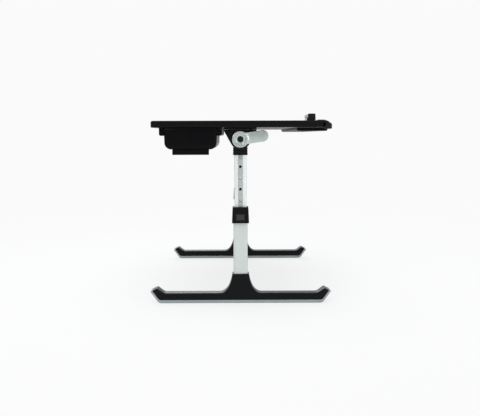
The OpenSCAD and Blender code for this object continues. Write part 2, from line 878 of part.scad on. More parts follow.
// Housing that folds on the ears and clamps the leg head between its cheeks
module housing() {
    color([0.05, 0.05, 0.055]) at_leg() difference() {
        union() {
            along_x(-housing_u, -cheek_u) cheek_face();
            for (step = ring_steps)
                along_x(-housing_u - ring_t, -housing_u + EPS) intersection() {
                    cheek_face();
                    translate([0, axis_z]) difference() {
                        circle(housing_r + step + ring_w / 2);
                        circle(housing_r + step - ring_w / 2);
                    }
                }
            intersection() {
                union() {
                    along_x(cheek_u, housing_u) intersection() {
                        cheek_face();
                        translate([-side_y, 0]) square([2 * side_y, 2 * axis_z]);
                    }
                    translate([-cheek_u - EPS, -side_y, side_bottom_z])
                        cube([2 * (cheek_u + EPS), 2 * side_y, housing_top_z - side_bottom_z]);
                }
                // heel: round about the fold axis, so that it turns under the board
                union() {
                    along_y(-side_y, side_y) {
                        translate([-housing_u, 0]) square([housing_u + fold_u, 2 * axis_z]);
                        translate([fold_u - EPS, 0]) square([housing_u, fold_z]);
                    }
                    translate([fold_u, 0, fold_z]) rod_y(-side_y, side_y, heel_r);
                }
            }
        }
        // room for the drum, and for the neck to swing
        translate([0, 0, axis_z]) rod_x(-cheek_u, cheek_u, cavity_r);
        translate([-cheek_u, -cavity_r, 0]) cube([2 * cheek_u, 2 * cavity_r, axis_z]);
        translate([0, 0, axis_z]) rod_x(-2 * housing_u, 2 * housing_u, bolt_r + seat_gap);
        translate([housing_u - nut_t, 0, axis_z]) rotate([0, 90, 0])
            cylinder(h = 2 * nut_t, r = nut_af / sqrt(3) + seat_gap, $fn = 6);
        translate([fold_u, 0, fold_z]) rod_y(-2 * side_y, 2 * side_y, fold_pin_r + pin_gap);
    }
}

// Clamp bolt with a socket head, which sits in the lever's hub
module tilt_bolt() {
    head_u = lever_face_u + bolt_recess;
    color([0.12, 0.12, 0.12]) at_leg() translate([0, 0, axis_z]) difference() {
        union() {
            rod_x(head_u, head_u + bolt_head_t, bolt_head_r);
            rod_x(head_u, housing_u - bolt_end_gap, bolt_r);
        }
        translate([head_u - EPS, 0, 0]) rotate([0, 90, 0])
            cylinder(h = socket_depth, r = bolt_head_r * 0.6, $fn = 6);
    }
}

module tilt_nut() {
    color([0.6, 0.6, 0.62]) at_leg() translate([housing_u - nut_t, 0, axis_z]) difference() {
        rotate([0, 90, 0]) cylinder(h = nut_t, r = nut_af / sqrt(3), $fn = 6);
        rod_x(-OVER, nut_t + OVER, bolt_r + seat_gap);
    }
}

module friction_washers() {
    color([0.7, 0.68, 0.6]) at_leg() translate([0, 0, axis_z])
        for (side = [-1, 1])
            difference() {
                rod_x(side > 0 ? cheek_u - washer_t - washer_gap : -cheek_u + washer_gap,
                      side > 0 ? cheek_u - washer_gap : -cheek_u + washer_gap + washer_t,
                      washer_r);
                rod_x(-2 * cheek_u, 2 * cheek_u, bolt_r + seat_gap);
            }
}

module clamp_lever() {
    face = lever_face_u;
    color([0.72, 0.76, 0.74]) at_leg() difference() {
        union() {
            translate([0, 0, axis_z]) rod_x(face, face + lever_hub_t, lever_hub_r);
            along_x(face + arm_recess, face + lever_arm_t)
                translate([0, axis_z]) rotate(180 - lever_angle) {
                    translate([0, -lever_tip_r]) square([lever_reach, 2 * lever_tip_r]);
                    translate([lever_reach, 0]) circle(lever_tip_r);
                }
        }
        translate([0, 0, axis_z]) {
            rod_x(face - OVER, face + lever_hub_t + OVER, bolt_r + pin_gap);
            rod_x(face - OVER, face + bolt_recess + bolt_head_t + 2 * seat_gap,
                  bolt_head_r + bolt_head_gap);
        }
    }
}

// ------------------------------------------------------------------- leg

module leg_head() {
    color([0.06, 0.06, 0.065]) at_leg() difference() {
        union() {
            translate([0, 0, axis_z]) rod_x(-drum_t / 2, drum_t / 2, drum_r);
            translate([-drum_t / 2, -web_w / 2, neck_top_z - OVER])
                cube([drum_t, web_w, axis_z - neck_top_z]);
            translate([0, 0, neck_z]) linear_extrude(neck_h) round_rect(neck_d, neck_w, tube_r);
            translate([-bore_out + tube_gap, -bore_w / 2 + tube_gap, neck_z - spigot_len])
                cube([bore_out + bore_in - 2 * tube_gap, bore_w - 2 * tube_gap,
                      spigot_len + OVER]);
        }
        // two grip grooves round the neck
        for (share = neck_grooves)
            translate([0, 0, neck_z + share * neck_h]) linear_extrude(neck_groove_h) difference() {
                square(2 * neck_w, center = true);
                round_rect(neck_d - 2 * neck_groove_t, neck_w - 2 * neck_groove_t,
                           tube_r - neck_groove_t);
            }
        translate([0, 0, axis_z]) rod_x(-neck_d, neck_d, bolt_r + pin_gap);
        translate([0, 0, rivet_z]) rod_x(-neck_d, neck_d, rivet_r + seat_gap);
    }
}

module inner_tube() {
    color([0.78, 0.82, 0.81]) at_leg() difference() {
        translate([0, 0, inner_bottom_z]) linear_extrude(neck_z - inner_bottom_z) difference() {
            round_rect(inner_d, inner_w, tube_r);
            translate([-bore_out, -bore_w / 2]) square([bore_out + bore_in, bore_w]);
            translate([-inner_d, -groove_w / 2]) square([inner_d / 2 + groove_t, groove_w]);
        }
        for (i = [0:hole_count - 1])
            translate([0, 0, lock_z + i * hole_pitch]) rod_x(-inner_d, inner_d, hole_r);
        translate([0, 0, rivet_z]) rod_x(-inner_d, inner_d, rivet_r + seat_gap);
    }
}

module tube_rivet() {
    out = -inner_d / 2 + groove_t;
    color([0.85, 0.85, 0.86]) at_leg() translate([0, 0, rivet_z]) {
        rod_x(out - rivet_head_t, inner_d / 2 + rivet_head_t, rivet_r);
        rod_x(out - rivet_head_t, out, rivet_head_r);
        rod_x(inner_d / 2, inner_d / 2 + rivet_head_t, rivet_head_r);
    }
}

// Plug in the bottom of the inner tube, which guides it in the outer tube
module tube_glide() {
    w = outer_w - 2 * outer_wall - 2 * tube_gap;
    d = outer_d - 2 * outer_wall - 2 * tube_gap;
    color([0.1, 0.1, 0.1]) at_leg() union() {
        translate([0, 0, inner_bottom_z - glide_t])
            linear_extrude(glide_t) round_rect(d, w, glide_r);
        translate([-bore_out + tube_gap, -bore_w / 2 + tube_gap, inner_bottom_z - OVER])
            cube([bore_out + bore_in - 2 * tube_gap, bore_w - 2 * tube_gap, glide_plug + OVER]);
    }
}

module outer_tube() {
    color([0.8, 0.84, 0.82]) at_leg() difference() {
        translate([0, 0, socket_z]) linear_extrude(outer_top - socket_z) difference() {
            round_rect(outer_d, outer_w, tube_r);
            round_rect(outer_d - 2 * outer_wall, outer_w - 2 * outer_wall, tube_r - outer_wall);
        }
        translate([0, 0, lock_z + lock_room / 2]) rod_x(-outer_d, 0, lock_r + lock_room);
        at_foot_screws() rod_x(0, outer_d, screw_r + seat_gap);
    }
}

module collar() {
    back_u = outer_d / 2 + collar_wall;
    window_low = button_z - 2 * window_gap;
    window_high = button_z + button_h + window_gap;
    color([0.05, 0.05, 0.055]) at_leg() difference() {
        intersection() {
            along_x(-collar_u, back_u) polygon(rounded([
                [-collar_w / 2, collar_z, edge_r],
                [collar_w / 2, collar_z, edge_r],
                [collar_top_w / 2, collar_z + collar_h, soft_r],
                [-collar_top_w / 2, collar_z + collar_h, soft_r]
            ]));
            translate([(back_u - collar_u) / 2, 0, collar_z]) linear_extrude(collar_h)
                round_rect(collar_u + back_u, collar_w, collar_r);
            along_y(-collar_w, collar_w) polygon(rounded([
                [-collar_u, collar_z, edge_r],
                [back_u, collar_z, edge_r],
                [back_u, collar_z + collar_h, soft_r],
                [-collar_u + fine_r, collar_z + collar_h, soft_r]
            ]));
        }
        translate([0, 0, collar_z - OVER]) linear_extrude(collar_h - collar_lip + OVER)
            round_rect(outer_d + 2 * seat_gap, outer_w + 2 * seat_gap, tube_r + seat_gap);
        translate([0, 0, collar_z]) linear_extrude(2 * collar_h)
            round_rect(inner_d + 2 * run_gap, inner_w + 2 * run_gap, tube_r + run_gap);
        // pocket for the rocker, and the window for its button
        translate([-collar_u + pocket_skin, -button_w / 2 - window_gap, window_low])
            cube([collar_front, button_w + 2 * window_gap, outer_top - window_low]);
        translate([-2 * collar_u, -button_w / 2 - window_gap, window_low])
            cube([2 * collar_u - outer_d / 2, button_w + 2 * window_gap, window_high - window_low]);
        translate([pivot_u, 0, pivot_z])
            rod_y(-button_w / 2 - pivot_reach, button_w / 2 + pivot_reach, pivot_r + pin_gap);
    }
}

// Bowed leaf behind the button
module release_spring() {
    face = -outer_d / 2 - spring_gap;
    low = button_z + fine_r;
    high = low + spring_len;
    third = spring_len / 3;
    color([0.7, 0.6, 0.35]) at_leg() along_y(-spring_w / 2, spring_w / 2) polygon(concat(
        curve([face, low], [face - spring_bow, low + third],
              [face - spring_bow, high - third], [face, high], ARC_STEPS),
        curve([face - spring_t, high], [face - spring_t - spring_bow, high - third],
              [face - spring_t - spring_bow, low + third], [face - spring_t, low], ARC_STEPS)
    ));
}

// Rocker with the button below its pivot and the lock pin above it
module release_button() {
    color([0.3, 0.3, 0.3]) at_leg() union() {
        translate([-collar_u + button_recess, -button_w / 2, button_z])
            cube([rocker_back_u + collar_u - button_recess, button_w, button_h]);
        translate([rocker_back_u - rocker_t, -button_w / 2, button_z])
            cube([rocker_t, button_w, pivot_z + rocker_top - button_z]);
        translate([0, 0, lock_z])
            rod_x(rocker_back_u - EPS, -inner_d / 2 + groove_t - lock_stop, lock_r);
        translate([pivot_u, 0, pivot_z])
            rod_y(-button_w / 2 - pivot_reach + 2 * seat_gap,
                  button_w / 2 + pivot_reach - 2 * seat_gap, pivot_r);
    }
}

// ------------------------------------------------------------------ foot

// Half of the foot's side outline in (Y, Z), from the middle of its bottom
// round the toe and up the boss. drop and inset thin it from below.
function half_foot(drop, inset, bend_r) =
    let (
        tip = [foot_len / 2, toe_h - toe_fall],
        slope = [cos(toe_angle), sin(toe_angle)],
        corner = [tip.x - toe_depth, toe_h],
        along_end = unit(corner - tip),
        lean = along_end * [-slope.y, slope.x],
        top = tip + along_end * inset / lean,
        bend = [top.x - (top.y - drop) / tan(toe_angle), drop],
        rise = [corner.x - (corner.y - foot_h) / tan(toe_top_angle), foot_h]
    )
    concat(
        fillet([0, drop], bend, top, bend_r),
        fillet(bend, top, corner, edge_r),
        fillet(top, corner, rise, soft_r),
        fillet(corner, rise, [boss_foot_y, foot_h], foot_bend_r),
        curve([boss_foot_y, foot_h], [boss_flare_y, foot_h], [boss_neck[0], boss_h - boss_neck[1]],
              [boss_w / 2, boss_h - boss_chamfer[1]], 12),
        [[boss_w / 2 - boss_chamfer[0], boss_h]]
    );

module foot_side(drop, inset, bend_r) {
    half = half_foot(drop, inset, bend_r);
    polygon(concat(half, mirrored(half)));
}

module at_foot_screws() {
    for (side = [-1, 1])
        translate([0, side * foot_screw_y, socket_z + foot_screw_up]) children();
}

module foot() {
    color([0.1, 0.11, 0.12]) at_leg() difference() {
        along_x(-foot_w / 2, foot_w / 2) foot_side(sole_t, sole_toe_t, sole_seat_r);
        translate([0, 0, socket_z]) linear_extrude(boss_h)
            round_rect(outer_d + 2 * seat_gap, outer_w + 2 * seat_gap, tube_r + seat_gap);
        at_foot_screws() {
            rod_x(0, foot_w, screw_r + seat_gap);
            rod_x(foot_w / 2 - foot_screw_head_t, foot_w, screw_head_r + seat_gap);
        }
    }
}

module foot_sole() {
    color([0.6, 0.63, 0.64]) at_leg() along_x(-foot_w / 2, foot_w / 2) difference() {
        foot_side(0, 0, sole_bend_r);
        foot_side(sole_t, sole_toe_t, sole_seat_r);
    }
}

module foot_screws() {
    head_u = foot_w / 2 - foot_screw_head_t;
    color([0.2, 0.2, 0.2]) at_leg() at_foot_screws() {
        rod_x(outer_d / 2 - outer_wall - OVER, head_u, screw_r);
        rod_x(head_u, foot_w / 2 - foot_screw_sink, screw_head_r);
    }
}

// ---------------------------------------------------------- left and right

module left_housing() { housing(); }
module left_tilt_bolt() { tilt_bolt(); }
module left_tilt_nut() { tilt_nut(); }
module left_friction_washers() { friction_washers(); }
module left_clamp_lever() { clamp_lever(); }
module left_leg_head() { leg_head(); }
module left_inner_tube() { inner_tube(); }
module left_tube_rivet() { tube_rivet(); }
module left_tube_glide() { tube_glide(); }
module left_outer_tube() { outer_tube(); }
module left_collar() { collar(); }
module left_release_spring() { release_spring(); }
module left_foot() { foot(); }
module left_foot_sole() { foot_sole(); }
module left_foot_screws() { foot_screws(); }
module left_release_button() { release_button(); }

module right_housing() { other_side() housing(); }
module right_tilt_bolt() { other_side() tilt_bolt(); }
module right_tilt_nut() { other_side() tilt_nut(); }
module right_friction_washers() { other_side() friction_washers(); }
module right_clamp_lever() { other_side() clamp_lever(); }
module right_leg_head() { other_side() leg_head(); }
module right_inner_tube() { other_side() inner_tube(); }
module right_tube_rivet() { other_side() tube_rivet(); }
module right_tube_glide() { other_side() tube_glide(); }
module right_outer_tube() { other_side() outer_tube(); }
module right_collar() { other_side() collar(); }
module right_release_spring() { other_side() release_spring(); }
module right_foot() { other_side() foot(); }
module right_foot_sole() { other_side() foot_sole(); }
module right_foot_screws() { other_side() foot_screws(); }
module right_release_button() { other_side() release_button(); }

top_panel();
top_skin();
left_wrist_rest();
right_wrist_rest();
front_stiffener();
stiffener_screws();
stopper_well();
stopper_pin();
stopper_bar();
stopper_pad();
drawer_rail_back();
drawer_rail_front();
rail_screws();
drawer_bin();
drawer_pull();
pull_screws();
left_hinge_base();
right_hinge_base();
hinge_base_screws();
left_fold_pins();
right_fold_pins();
left_housing();
left_tilt_bolt();
left_tilt_nut();
left_friction_washers();
left_clamp_lever();
left_leg_head();
left_inner_tube();
left_tube_rivet();
left_tube_glide();
left_outer_tube();
left_collar();
left_release_spring();
left_foot();
left_foot_sole();
left_foot_screws();
left_release_button();
right_housing();
right_tilt_bolt();
right_tilt_nut();
right_friction_washers();
right_clamp_lever();
right_leg_head();
right_inner_tube();
right_tube_rivet();
right_tube_glide();
right_outer_tube();
right_collar();
right_release_spring();
right_foot();
right_foot_sole();
right_foot_screws();
right_release_button();
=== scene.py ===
# %% [markdown]
# # A folding laptop stand, dressed for its photograph
#
# The solids of this stand come from its CAD source and are already in the right
# place, in metres. This lesson adds what the solids leave out: rounded edges
# that catch the light, padded leatherette, brushed tubes, soft studio light and
# the camera of the photograph.
#
# Each step first says what the real piece is and why it is made in one
# particular way. The code cells are short and print what they made.

# %% Load the frame
import json
import math

import bpy
import numpy as np
from mathutils import Matrix
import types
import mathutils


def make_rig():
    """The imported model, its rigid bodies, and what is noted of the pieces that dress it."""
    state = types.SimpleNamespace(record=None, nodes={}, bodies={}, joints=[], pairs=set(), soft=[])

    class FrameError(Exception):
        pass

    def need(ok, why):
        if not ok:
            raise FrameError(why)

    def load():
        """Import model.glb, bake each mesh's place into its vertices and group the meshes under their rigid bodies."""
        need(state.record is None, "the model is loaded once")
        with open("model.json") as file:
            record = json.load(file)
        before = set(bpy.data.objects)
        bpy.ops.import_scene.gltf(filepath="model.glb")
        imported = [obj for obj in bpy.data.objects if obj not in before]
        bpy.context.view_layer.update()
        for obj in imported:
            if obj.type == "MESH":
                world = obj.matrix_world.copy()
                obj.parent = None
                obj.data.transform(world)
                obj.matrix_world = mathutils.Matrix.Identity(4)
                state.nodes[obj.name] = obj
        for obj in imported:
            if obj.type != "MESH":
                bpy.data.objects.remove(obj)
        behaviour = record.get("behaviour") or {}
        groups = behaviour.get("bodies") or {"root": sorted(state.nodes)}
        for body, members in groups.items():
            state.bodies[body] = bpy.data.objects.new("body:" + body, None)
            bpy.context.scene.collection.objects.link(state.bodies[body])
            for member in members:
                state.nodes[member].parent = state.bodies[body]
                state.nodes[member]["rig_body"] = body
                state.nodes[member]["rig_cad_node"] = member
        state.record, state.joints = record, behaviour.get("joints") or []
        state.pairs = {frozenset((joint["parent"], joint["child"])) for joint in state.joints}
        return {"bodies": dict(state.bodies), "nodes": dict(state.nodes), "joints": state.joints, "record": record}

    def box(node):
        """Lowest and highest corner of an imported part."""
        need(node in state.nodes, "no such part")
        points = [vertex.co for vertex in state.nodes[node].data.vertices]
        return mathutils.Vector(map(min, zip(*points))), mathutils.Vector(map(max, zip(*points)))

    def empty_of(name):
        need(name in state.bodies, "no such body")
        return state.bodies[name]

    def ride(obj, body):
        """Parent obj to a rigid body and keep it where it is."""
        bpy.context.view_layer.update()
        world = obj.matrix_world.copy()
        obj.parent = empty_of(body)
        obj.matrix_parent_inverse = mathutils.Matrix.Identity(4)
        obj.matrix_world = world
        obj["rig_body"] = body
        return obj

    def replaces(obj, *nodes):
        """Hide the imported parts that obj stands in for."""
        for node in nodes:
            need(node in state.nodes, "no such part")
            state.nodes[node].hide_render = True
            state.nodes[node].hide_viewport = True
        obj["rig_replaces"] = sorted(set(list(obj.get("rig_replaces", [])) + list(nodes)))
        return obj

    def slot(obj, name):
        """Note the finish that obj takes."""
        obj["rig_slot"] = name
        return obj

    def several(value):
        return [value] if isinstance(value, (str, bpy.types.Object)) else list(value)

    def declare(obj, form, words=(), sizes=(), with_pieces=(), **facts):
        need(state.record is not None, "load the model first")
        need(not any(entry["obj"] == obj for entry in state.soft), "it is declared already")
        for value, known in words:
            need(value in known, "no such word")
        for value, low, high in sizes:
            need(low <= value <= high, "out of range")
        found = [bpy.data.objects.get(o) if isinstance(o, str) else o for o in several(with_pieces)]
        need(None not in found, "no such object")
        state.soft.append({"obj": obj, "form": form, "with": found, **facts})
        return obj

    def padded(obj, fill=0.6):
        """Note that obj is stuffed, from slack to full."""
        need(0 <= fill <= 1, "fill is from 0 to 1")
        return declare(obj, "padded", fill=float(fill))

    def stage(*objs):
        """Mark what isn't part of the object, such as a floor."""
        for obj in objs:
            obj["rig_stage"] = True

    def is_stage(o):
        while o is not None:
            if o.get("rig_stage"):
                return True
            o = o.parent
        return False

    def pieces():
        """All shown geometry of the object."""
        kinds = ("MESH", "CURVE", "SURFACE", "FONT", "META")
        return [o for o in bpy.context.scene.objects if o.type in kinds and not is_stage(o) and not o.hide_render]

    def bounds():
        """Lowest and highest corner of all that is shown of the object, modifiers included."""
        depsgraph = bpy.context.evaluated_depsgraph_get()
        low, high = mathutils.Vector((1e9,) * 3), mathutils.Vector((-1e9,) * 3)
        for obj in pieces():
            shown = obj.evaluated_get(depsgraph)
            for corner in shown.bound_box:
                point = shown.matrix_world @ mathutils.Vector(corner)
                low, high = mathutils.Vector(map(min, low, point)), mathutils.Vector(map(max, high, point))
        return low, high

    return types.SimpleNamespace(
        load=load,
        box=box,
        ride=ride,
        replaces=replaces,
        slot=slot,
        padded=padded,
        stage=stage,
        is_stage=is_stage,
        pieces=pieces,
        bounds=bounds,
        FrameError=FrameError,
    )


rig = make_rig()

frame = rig.load()
cad_box = [list(map(float, corner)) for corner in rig.bounds()]
nodes = frame["nodes"]
body_of = {n: b for b, names in frame["record"]["behaviour"]["bodies"].items() for n in names}
slot_of = {s["node"]: s["material_slot"] for s in frame["record"]["subparts"]}
MM = 0.001
print(len(nodes), "CAD nodes, box", cad_box)

# %% [markdown]
# ## Camera
#
# The photograph looks at one end of the stand from just above the drawer, with
# a normal lens. The place, the tilt and the focal length below were fitted to
# the corners of the feet, the tubes and the board, so the camera is given by
# numbers and not by eye.

# %% Camera
LENS_PX = 701.83  # focal length in pixels of a picture that is PHOTO_WIDTH pixels wide
PHOTO_WIDTH = 480
SENSOR_WIDTH = 36
EYE = (-1.4354, 0.0042, 0.2908)  # metres
PITCH, YAW, ROLL = 0.1034, -0.0028, -0.0031  # radians


def camera_matrix(eye, pitch, yaw, roll):
    """Camera-to-world matrix for a camera that looks along +X.

    forward = (cos p cos y, cos p sin y, -sin p). Right and up are turned round
    it by the roll. The columns are right, up and minus forward.
    """
    cp, sp, cy, sy, cr, sr = (math.cos(pitch), math.sin(pitch), math.cos(yaw),
                              math.sin(yaw), math.cos(roll), math.sin(roll))
    forward = np.array([cp * cy, cp * sy, -sp])
    level = np.array([sy, -cy, 0.0])
    rise = np.array([sp * cy, sp * sy, cp])
    m = np.eye(4)
    m[:3, 0] = cr * level + sr * rise
    m[:3, 1] = -sr * level + cr * rise
    m[:3, 2] = -forward
    m[:3, 3] = eye
    return Matrix(m.tolist())


camera = bpy.data.objects.new("camera", bpy.data.cameras.new("camera"))
camera.data.sensor_width = SENSOR_WIDTH
camera.data.lens = LENS_PX / PHOTO_WIDTH * SENSOR_WIDTH
camera.data.clip_start, camera.data.clip_end = 0.01, 100
camera.matrix_world = camera_matrix(EYE, PITCH, YAW, ROLL)
bpy.context.scene.collection.objects.link(camera)
bpy.context.scene.camera = camera
print("lens", round(camera.data.lens, 2), "mm")

# %% [markdown]
# ## Helpers for nodes
#
# The studio, the shared effects and the materials are node trees. Each node
# could be made and linked over several lines. These short functions do it
# instead, so that one line further down is one node with its inputs.

# %% Helpers for nodes
def group(name, inputs, *outputs):
    """A new node group, its input sockets and its end node; every socket but Normal is a number."""
    tree = bpy.data.node_groups.new(name, "ShaderNodeTree")
    for label, value in inputs.items():
        socket = tree.interface.new_socket(label, in_out="INPUT", socket_type="NodeSocketFloat")
        socket.default_value = value
    for label in outputs:
        kind = "NodeSocketVector" if label == "Normal" else "NodeSocketFloat"
        tree.interface.new_socket(label, in_out="OUTPUT", socket_type=kind)
    return tree, tree.nodes.new("NodeGroupInput").outputs, tree.nodes.new("NodeGroupOutput")


def add_node(tree, kind, settings=None, **inputs):
    """A node of that kind, its inputs set to values or linked to sockets.

    An input is named i0, i1 and so on by its number, or by its label with _
    for a space.
    """
    node = tree.nodes.new("ShaderNode" + kind)
    for key, value in (settings or {}).items():
        setattr(node, key, value)
    for key, value in inputs.items():
        numbered = key[0] == "i" and key[1:].isdigit()
        socket = node.inputs[int(key[1:]) if numbered else key.replace("_", " ")]
        if isinstance(value, bpy.types.NodeSocket):
            tree.links.new(value, socket)
        else:
            socket.default_value = value
    return node


def maths(tree, operation, a, b=0.0, clamp=False):
    """The value of one Math node."""
    return add_node(tree, "Math", {"operation": operation, "use_clamp": clamp}, i0=a, i1=b).outputs[0]


def object_coord(tree):
    """The point in the object's own axes, in metres."""
    return add_node(tree, "TexCoord").outputs["Object"]


def ramp(tree, value, start, end, low=0.0, high=1.0, smooth_ends=False):
    """A value that goes from low to high while its input goes from start to end."""
    settings = {"interpolation_type": "SMOOTHSTEP"} if smooth_ends else None
    return add_node(tree, "MapRange", settings, Value=value, From_Min=start, From_Max=end,
                    To_Min=low, To_Max=high).outputs["Result"]


def close(tree, end, **values):
    """Links a group's results to its end node."""
    for label, value in values.items():
        tree.links.new(value, end.inputs[label])
    print("group", tree.name)


# %% [markdown]
# ## Studio
#
# The picture has a white background, a pale floor and a very soft shadow. The
# plain background is only what the camera sees: it lights nothing. A sky and
# four wide lamps do the lighting. An even sky would grey the black mouldings,
# so this one changes with direction: it is dim at the camera's horizon, and
# bright overhead and behind the stand, where the top and the feet mirror it.

# %% Background
scene = bpy.context.scene
scene.view_settings.view_transform = "Standard"
BACKDROP = (0.955, 0.955, 0.955, 1)
SKY_COLOUR = (0.95, 0.975, 1, 1)
SKY = (("Z", 0.0, 0.9, 0.12, 0.95), ("X", 0.1, 0.9, 0.0, 0.75))  # axis, from, to, strengths there


def sky_light(tree):
    """Strength by direction: the sum of one smooth ramp along each axis of SKY."""
    look = add_node(tree, "SeparateXYZ", i0=add_node(tree, "TexCoord").outputs["Generated"]).outputs
    return maths(tree, "ADD", *(ramp(tree, look[axis], *limits, True) for axis, *limits in SKY))


world = bpy.data.worlds.new("studio")
world.use_nodes = True
scene.world = world
tree = world.node_tree
tree.nodes.clear()
sky = add_node(tree, "Background", Color=SKY_COLOUR, Strength=sky_light(tree))
plain = add_node(tree, "Background", Color=BACKDROP)
mix = add_node(tree, "MixShader", i0=add_node(tree, "LightPath").outputs["Is Camera Ray"],
               i1=sky.outputs[0], i2=plain.outputs[0])
add_node(tree, "OutputWorld", Surface=mix.outputs[0])
print("sky with", len(SKY), "ramps, background", BACKDROP[:3])

# %% [markdown]
# ## From arrays to objects
#
# A surface here is an array of points, worked out at once from two parameters,
# with a face between every four neighbours. The same two functions turn each
# such grid into an object.

# %% Grids and objects
def grid_faces(rows, columns, close_rows=False, close_columns=False):
    """Quads between neighbours of a rows by columns grid, wrapping round where closed."""
    i = np.arange(rows if close_rows else rows - 1)[:, None]
    j = np.arange(columns if close_columns else columns - 1)[None, :]
    i1, j1 = (i + 1) % rows, (j + 1) % columns
    quads = [i * columns + j, i * columns + j1, i1 * columns + j1, i1 * columns + j]
    return np.stack(np.broadcast_arrays(*quads), -1).reshape(-1, 4)


def mesh_object(name, points, faces):
    """An object at the origin whose mesh has these points, with its faces turned outwards."""
    points = np.asarray(points, float).reshape(-1, 3)
    mesh = bpy.data.meshes.new(name)
    mesh.from_pydata(points.tolist(), [], [list(map(int, f)) for f in faces])
    mesh.update()
    mesh.calc_loop_triangles()
    tri = np.zeros(len(mesh.loop_triangles) * 3, int)
    mesh.loop_triangles.foreach_get("vertices", tri)
    p = points[tri.reshape(-1, 3)]
    if np.einsum("ij,ij->", p[:, 0], np.cross(p[:, 1], p[:, 2])) < 0:
        mesh.flip_normals()
    obj = bpy.data.objects.new(name, mesh)
    scene.collection.objects.link(obj)
    return obj


# %% [markdown]
# ## Floor
#
# A large disc is lit like any matt surface near the stand, so it keeps the
# shadow, and fades to the plain background further out. The fade's ramp starts
# below zero, so that even its middle is partly background and the shadow stays
# faint. Its rings lie closer together near the stand.

# %% Floor
FLOOR_R, FLOOR_RINGS, FLOOR_SPOKES = 14, 60, 96
FLOOR_DROP = 0.0004  # keeps the floor clear of the soles
FADE = (-2.2, 1.4)  # distances from the middle, in metres
FLOOR_LOOK = {"Base Color": (0.82, 0.82, 0.82, 1), "Roughness": 0.9, "Specular IOR Level": 0.1}


def disc(radius, rings, spokes):
    """Points of a flat disc: radius times (cos a, sin a) for radii growing with the square."""
    r = radius * np.linspace(0, 1, rings) ** 2
    a = np.linspace(0, 2 * np.pi, spokes, endpoint=False)
    return np.stack([np.outer(r, np.cos(a)), np.outer(r, np.sin(a)), np.zeros((rings, spokes))], -1)


def seen_directly(tree):
    """1 where a camera, mirror or glass ray looks: the three Light Path outputs added."""
    path = add_node(tree, "LightPath").outputs
    value = path["Is Camera Ray"]
    for other in ("Is Glossy Ray", "Is Transmission Ray"):
        value = maths(tree, "ADD", value, path[other], clamp=True)
    return value


floor = mesh_object("floor", disc(FLOOR_R, FLOOR_RINGS, FLOOR_SPOKES),
                    grid_faces(FLOOR_RINGS, FLOOR_SPOKES, False, True))
floor.location.z = -FLOOR_DROP
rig.stage(floor)
mat = bpy.data.materials.new("pale floor")
mat.use_nodes = True
tree = mat.node_tree
matt = tree.nodes["Principled BSDF"]
for socket, value in FLOOR_LOOK.items():
    matt.inputs[socket].default_value = value
glow = add_node(tree, "Emission", Color=BACKDROP)
reach = add_node(tree, "VectorMath", {"operation": "LENGTH"}, i0=object_coord(tree))
fade = ramp(tree, reach.outputs["Value"], *FADE, smooth_ends=True)
share = maths(tree, "MULTIPLY", fade, seen_directly(tree))
mix = add_node(tree, "MixShader", i0=share, i1=matt.outputs[0], i2=glow.outputs[0])
tree.links.new(mix.outputs[0], tree.nodes["Material Output"].inputs["Surface"])
floor.data.materials.append(mat)
print("floor of radius", FLOOR_R, "m")

# %% [markdown]
# ## Lamps
#
# Small lamps would leave hard spots on the polished parts. Each lamp here is
# a rectangle with sides from one to two and a half metres: the key at the
# photographer's left, a weaker fill at the right, one overhead and one behind
# the stand.

# %% Lamps
LAMPS = {  # name: place, point looked at, width, height, watts
    "key": ((-2.2, 1.5, 1.7), (0, 0, 0.2), 1.8, 1.8, 25),
    "fill": ((-2.3, -1.6, 0.8), (0, 0, 0.2), 1.8, 1.2, 15),
    "top": ((0.0, 0.0, 2.4), (0, 0, 0), 2.4, 1.6, 19),
    "back": ((2.2, 0.8, 1.2), (0, 0, 0.2), 1.8, 1.2, 14),
}
for name, (place, target, width, height, watts) in LAMPS.items():
    lamp = bpy.data.lights.new(name, "AREA")
    lamp.shape, lamp.size, lamp.size_y, lamp.energy = "RECTANGLE", width, height, watts
    obj = bpy.data.objects.new(name, lamp)
    away = np.array(place, float) - target
    away /= np.linalg.norm(away)
    side = np.cross([0, 0, 1.0] if abs(away[2]) < 0.99 else [0, 1.0, 0], away)
    side /= np.linalg.norm(side)
    m = np.eye(4)
    m[:3, :4] = np.column_stack([side, np.cross(away, side), away, place])
    obj.matrix_world = Matrix(m.tolist())
    scene.collection.objects.link(obj)
print(len(LAMPS), "lamps")

# %% [markdown]
# ## Shared effects
#
# Every moulding, casting and tube on the stand shows the same few effects at
# different sizes: a fine grain from the mould, a slow change of tone from
# handling and dust, edges that are a little lighter from wear and from a
# painted highlight, and lines along an extruded or brushed metal. Each effect is
# a node group with named inputs, built once. A group gives out only colours,
# values and normals, so the shader itself always stays in the material.

# %% [markdown]
# ### Grain
#
# Injection moulds are spark-eroded or sand-blasted, which leaves dimples of
# 0.2 to 0.6 mm. Two noises, one twice as fine as the other, look like it: the
# coarse one gives the dimples and the fine one breaks them up.

# %% Grain group
grain, gi, go = group("grain", {"Size": 0.0005}, "Height", "Mask")
coord = object_coord(grain)
scale = maths(grain, "DIVIDE", 1.0, gi["Size"])
coarse = add_node(grain, "TexNoise", Vector=coord, Scale=scale, Detail=2.0, Roughness=0.6)
fine = add_node(grain, "TexNoise", Vector=coord, Scale=maths(grain, "MULTIPLY", scale, 2.3), Detail=1.0)
height = maths(grain, "ADD", maths(grain, "MULTIPLY", coarse.outputs["Fac"], 0.7),
               maths(grain, "MULTIPLY", fine.outputs["Fac"], 0.3))
close(grain, go, Height=height, Mask=ramp(grain, height, 0.38, 0.62))
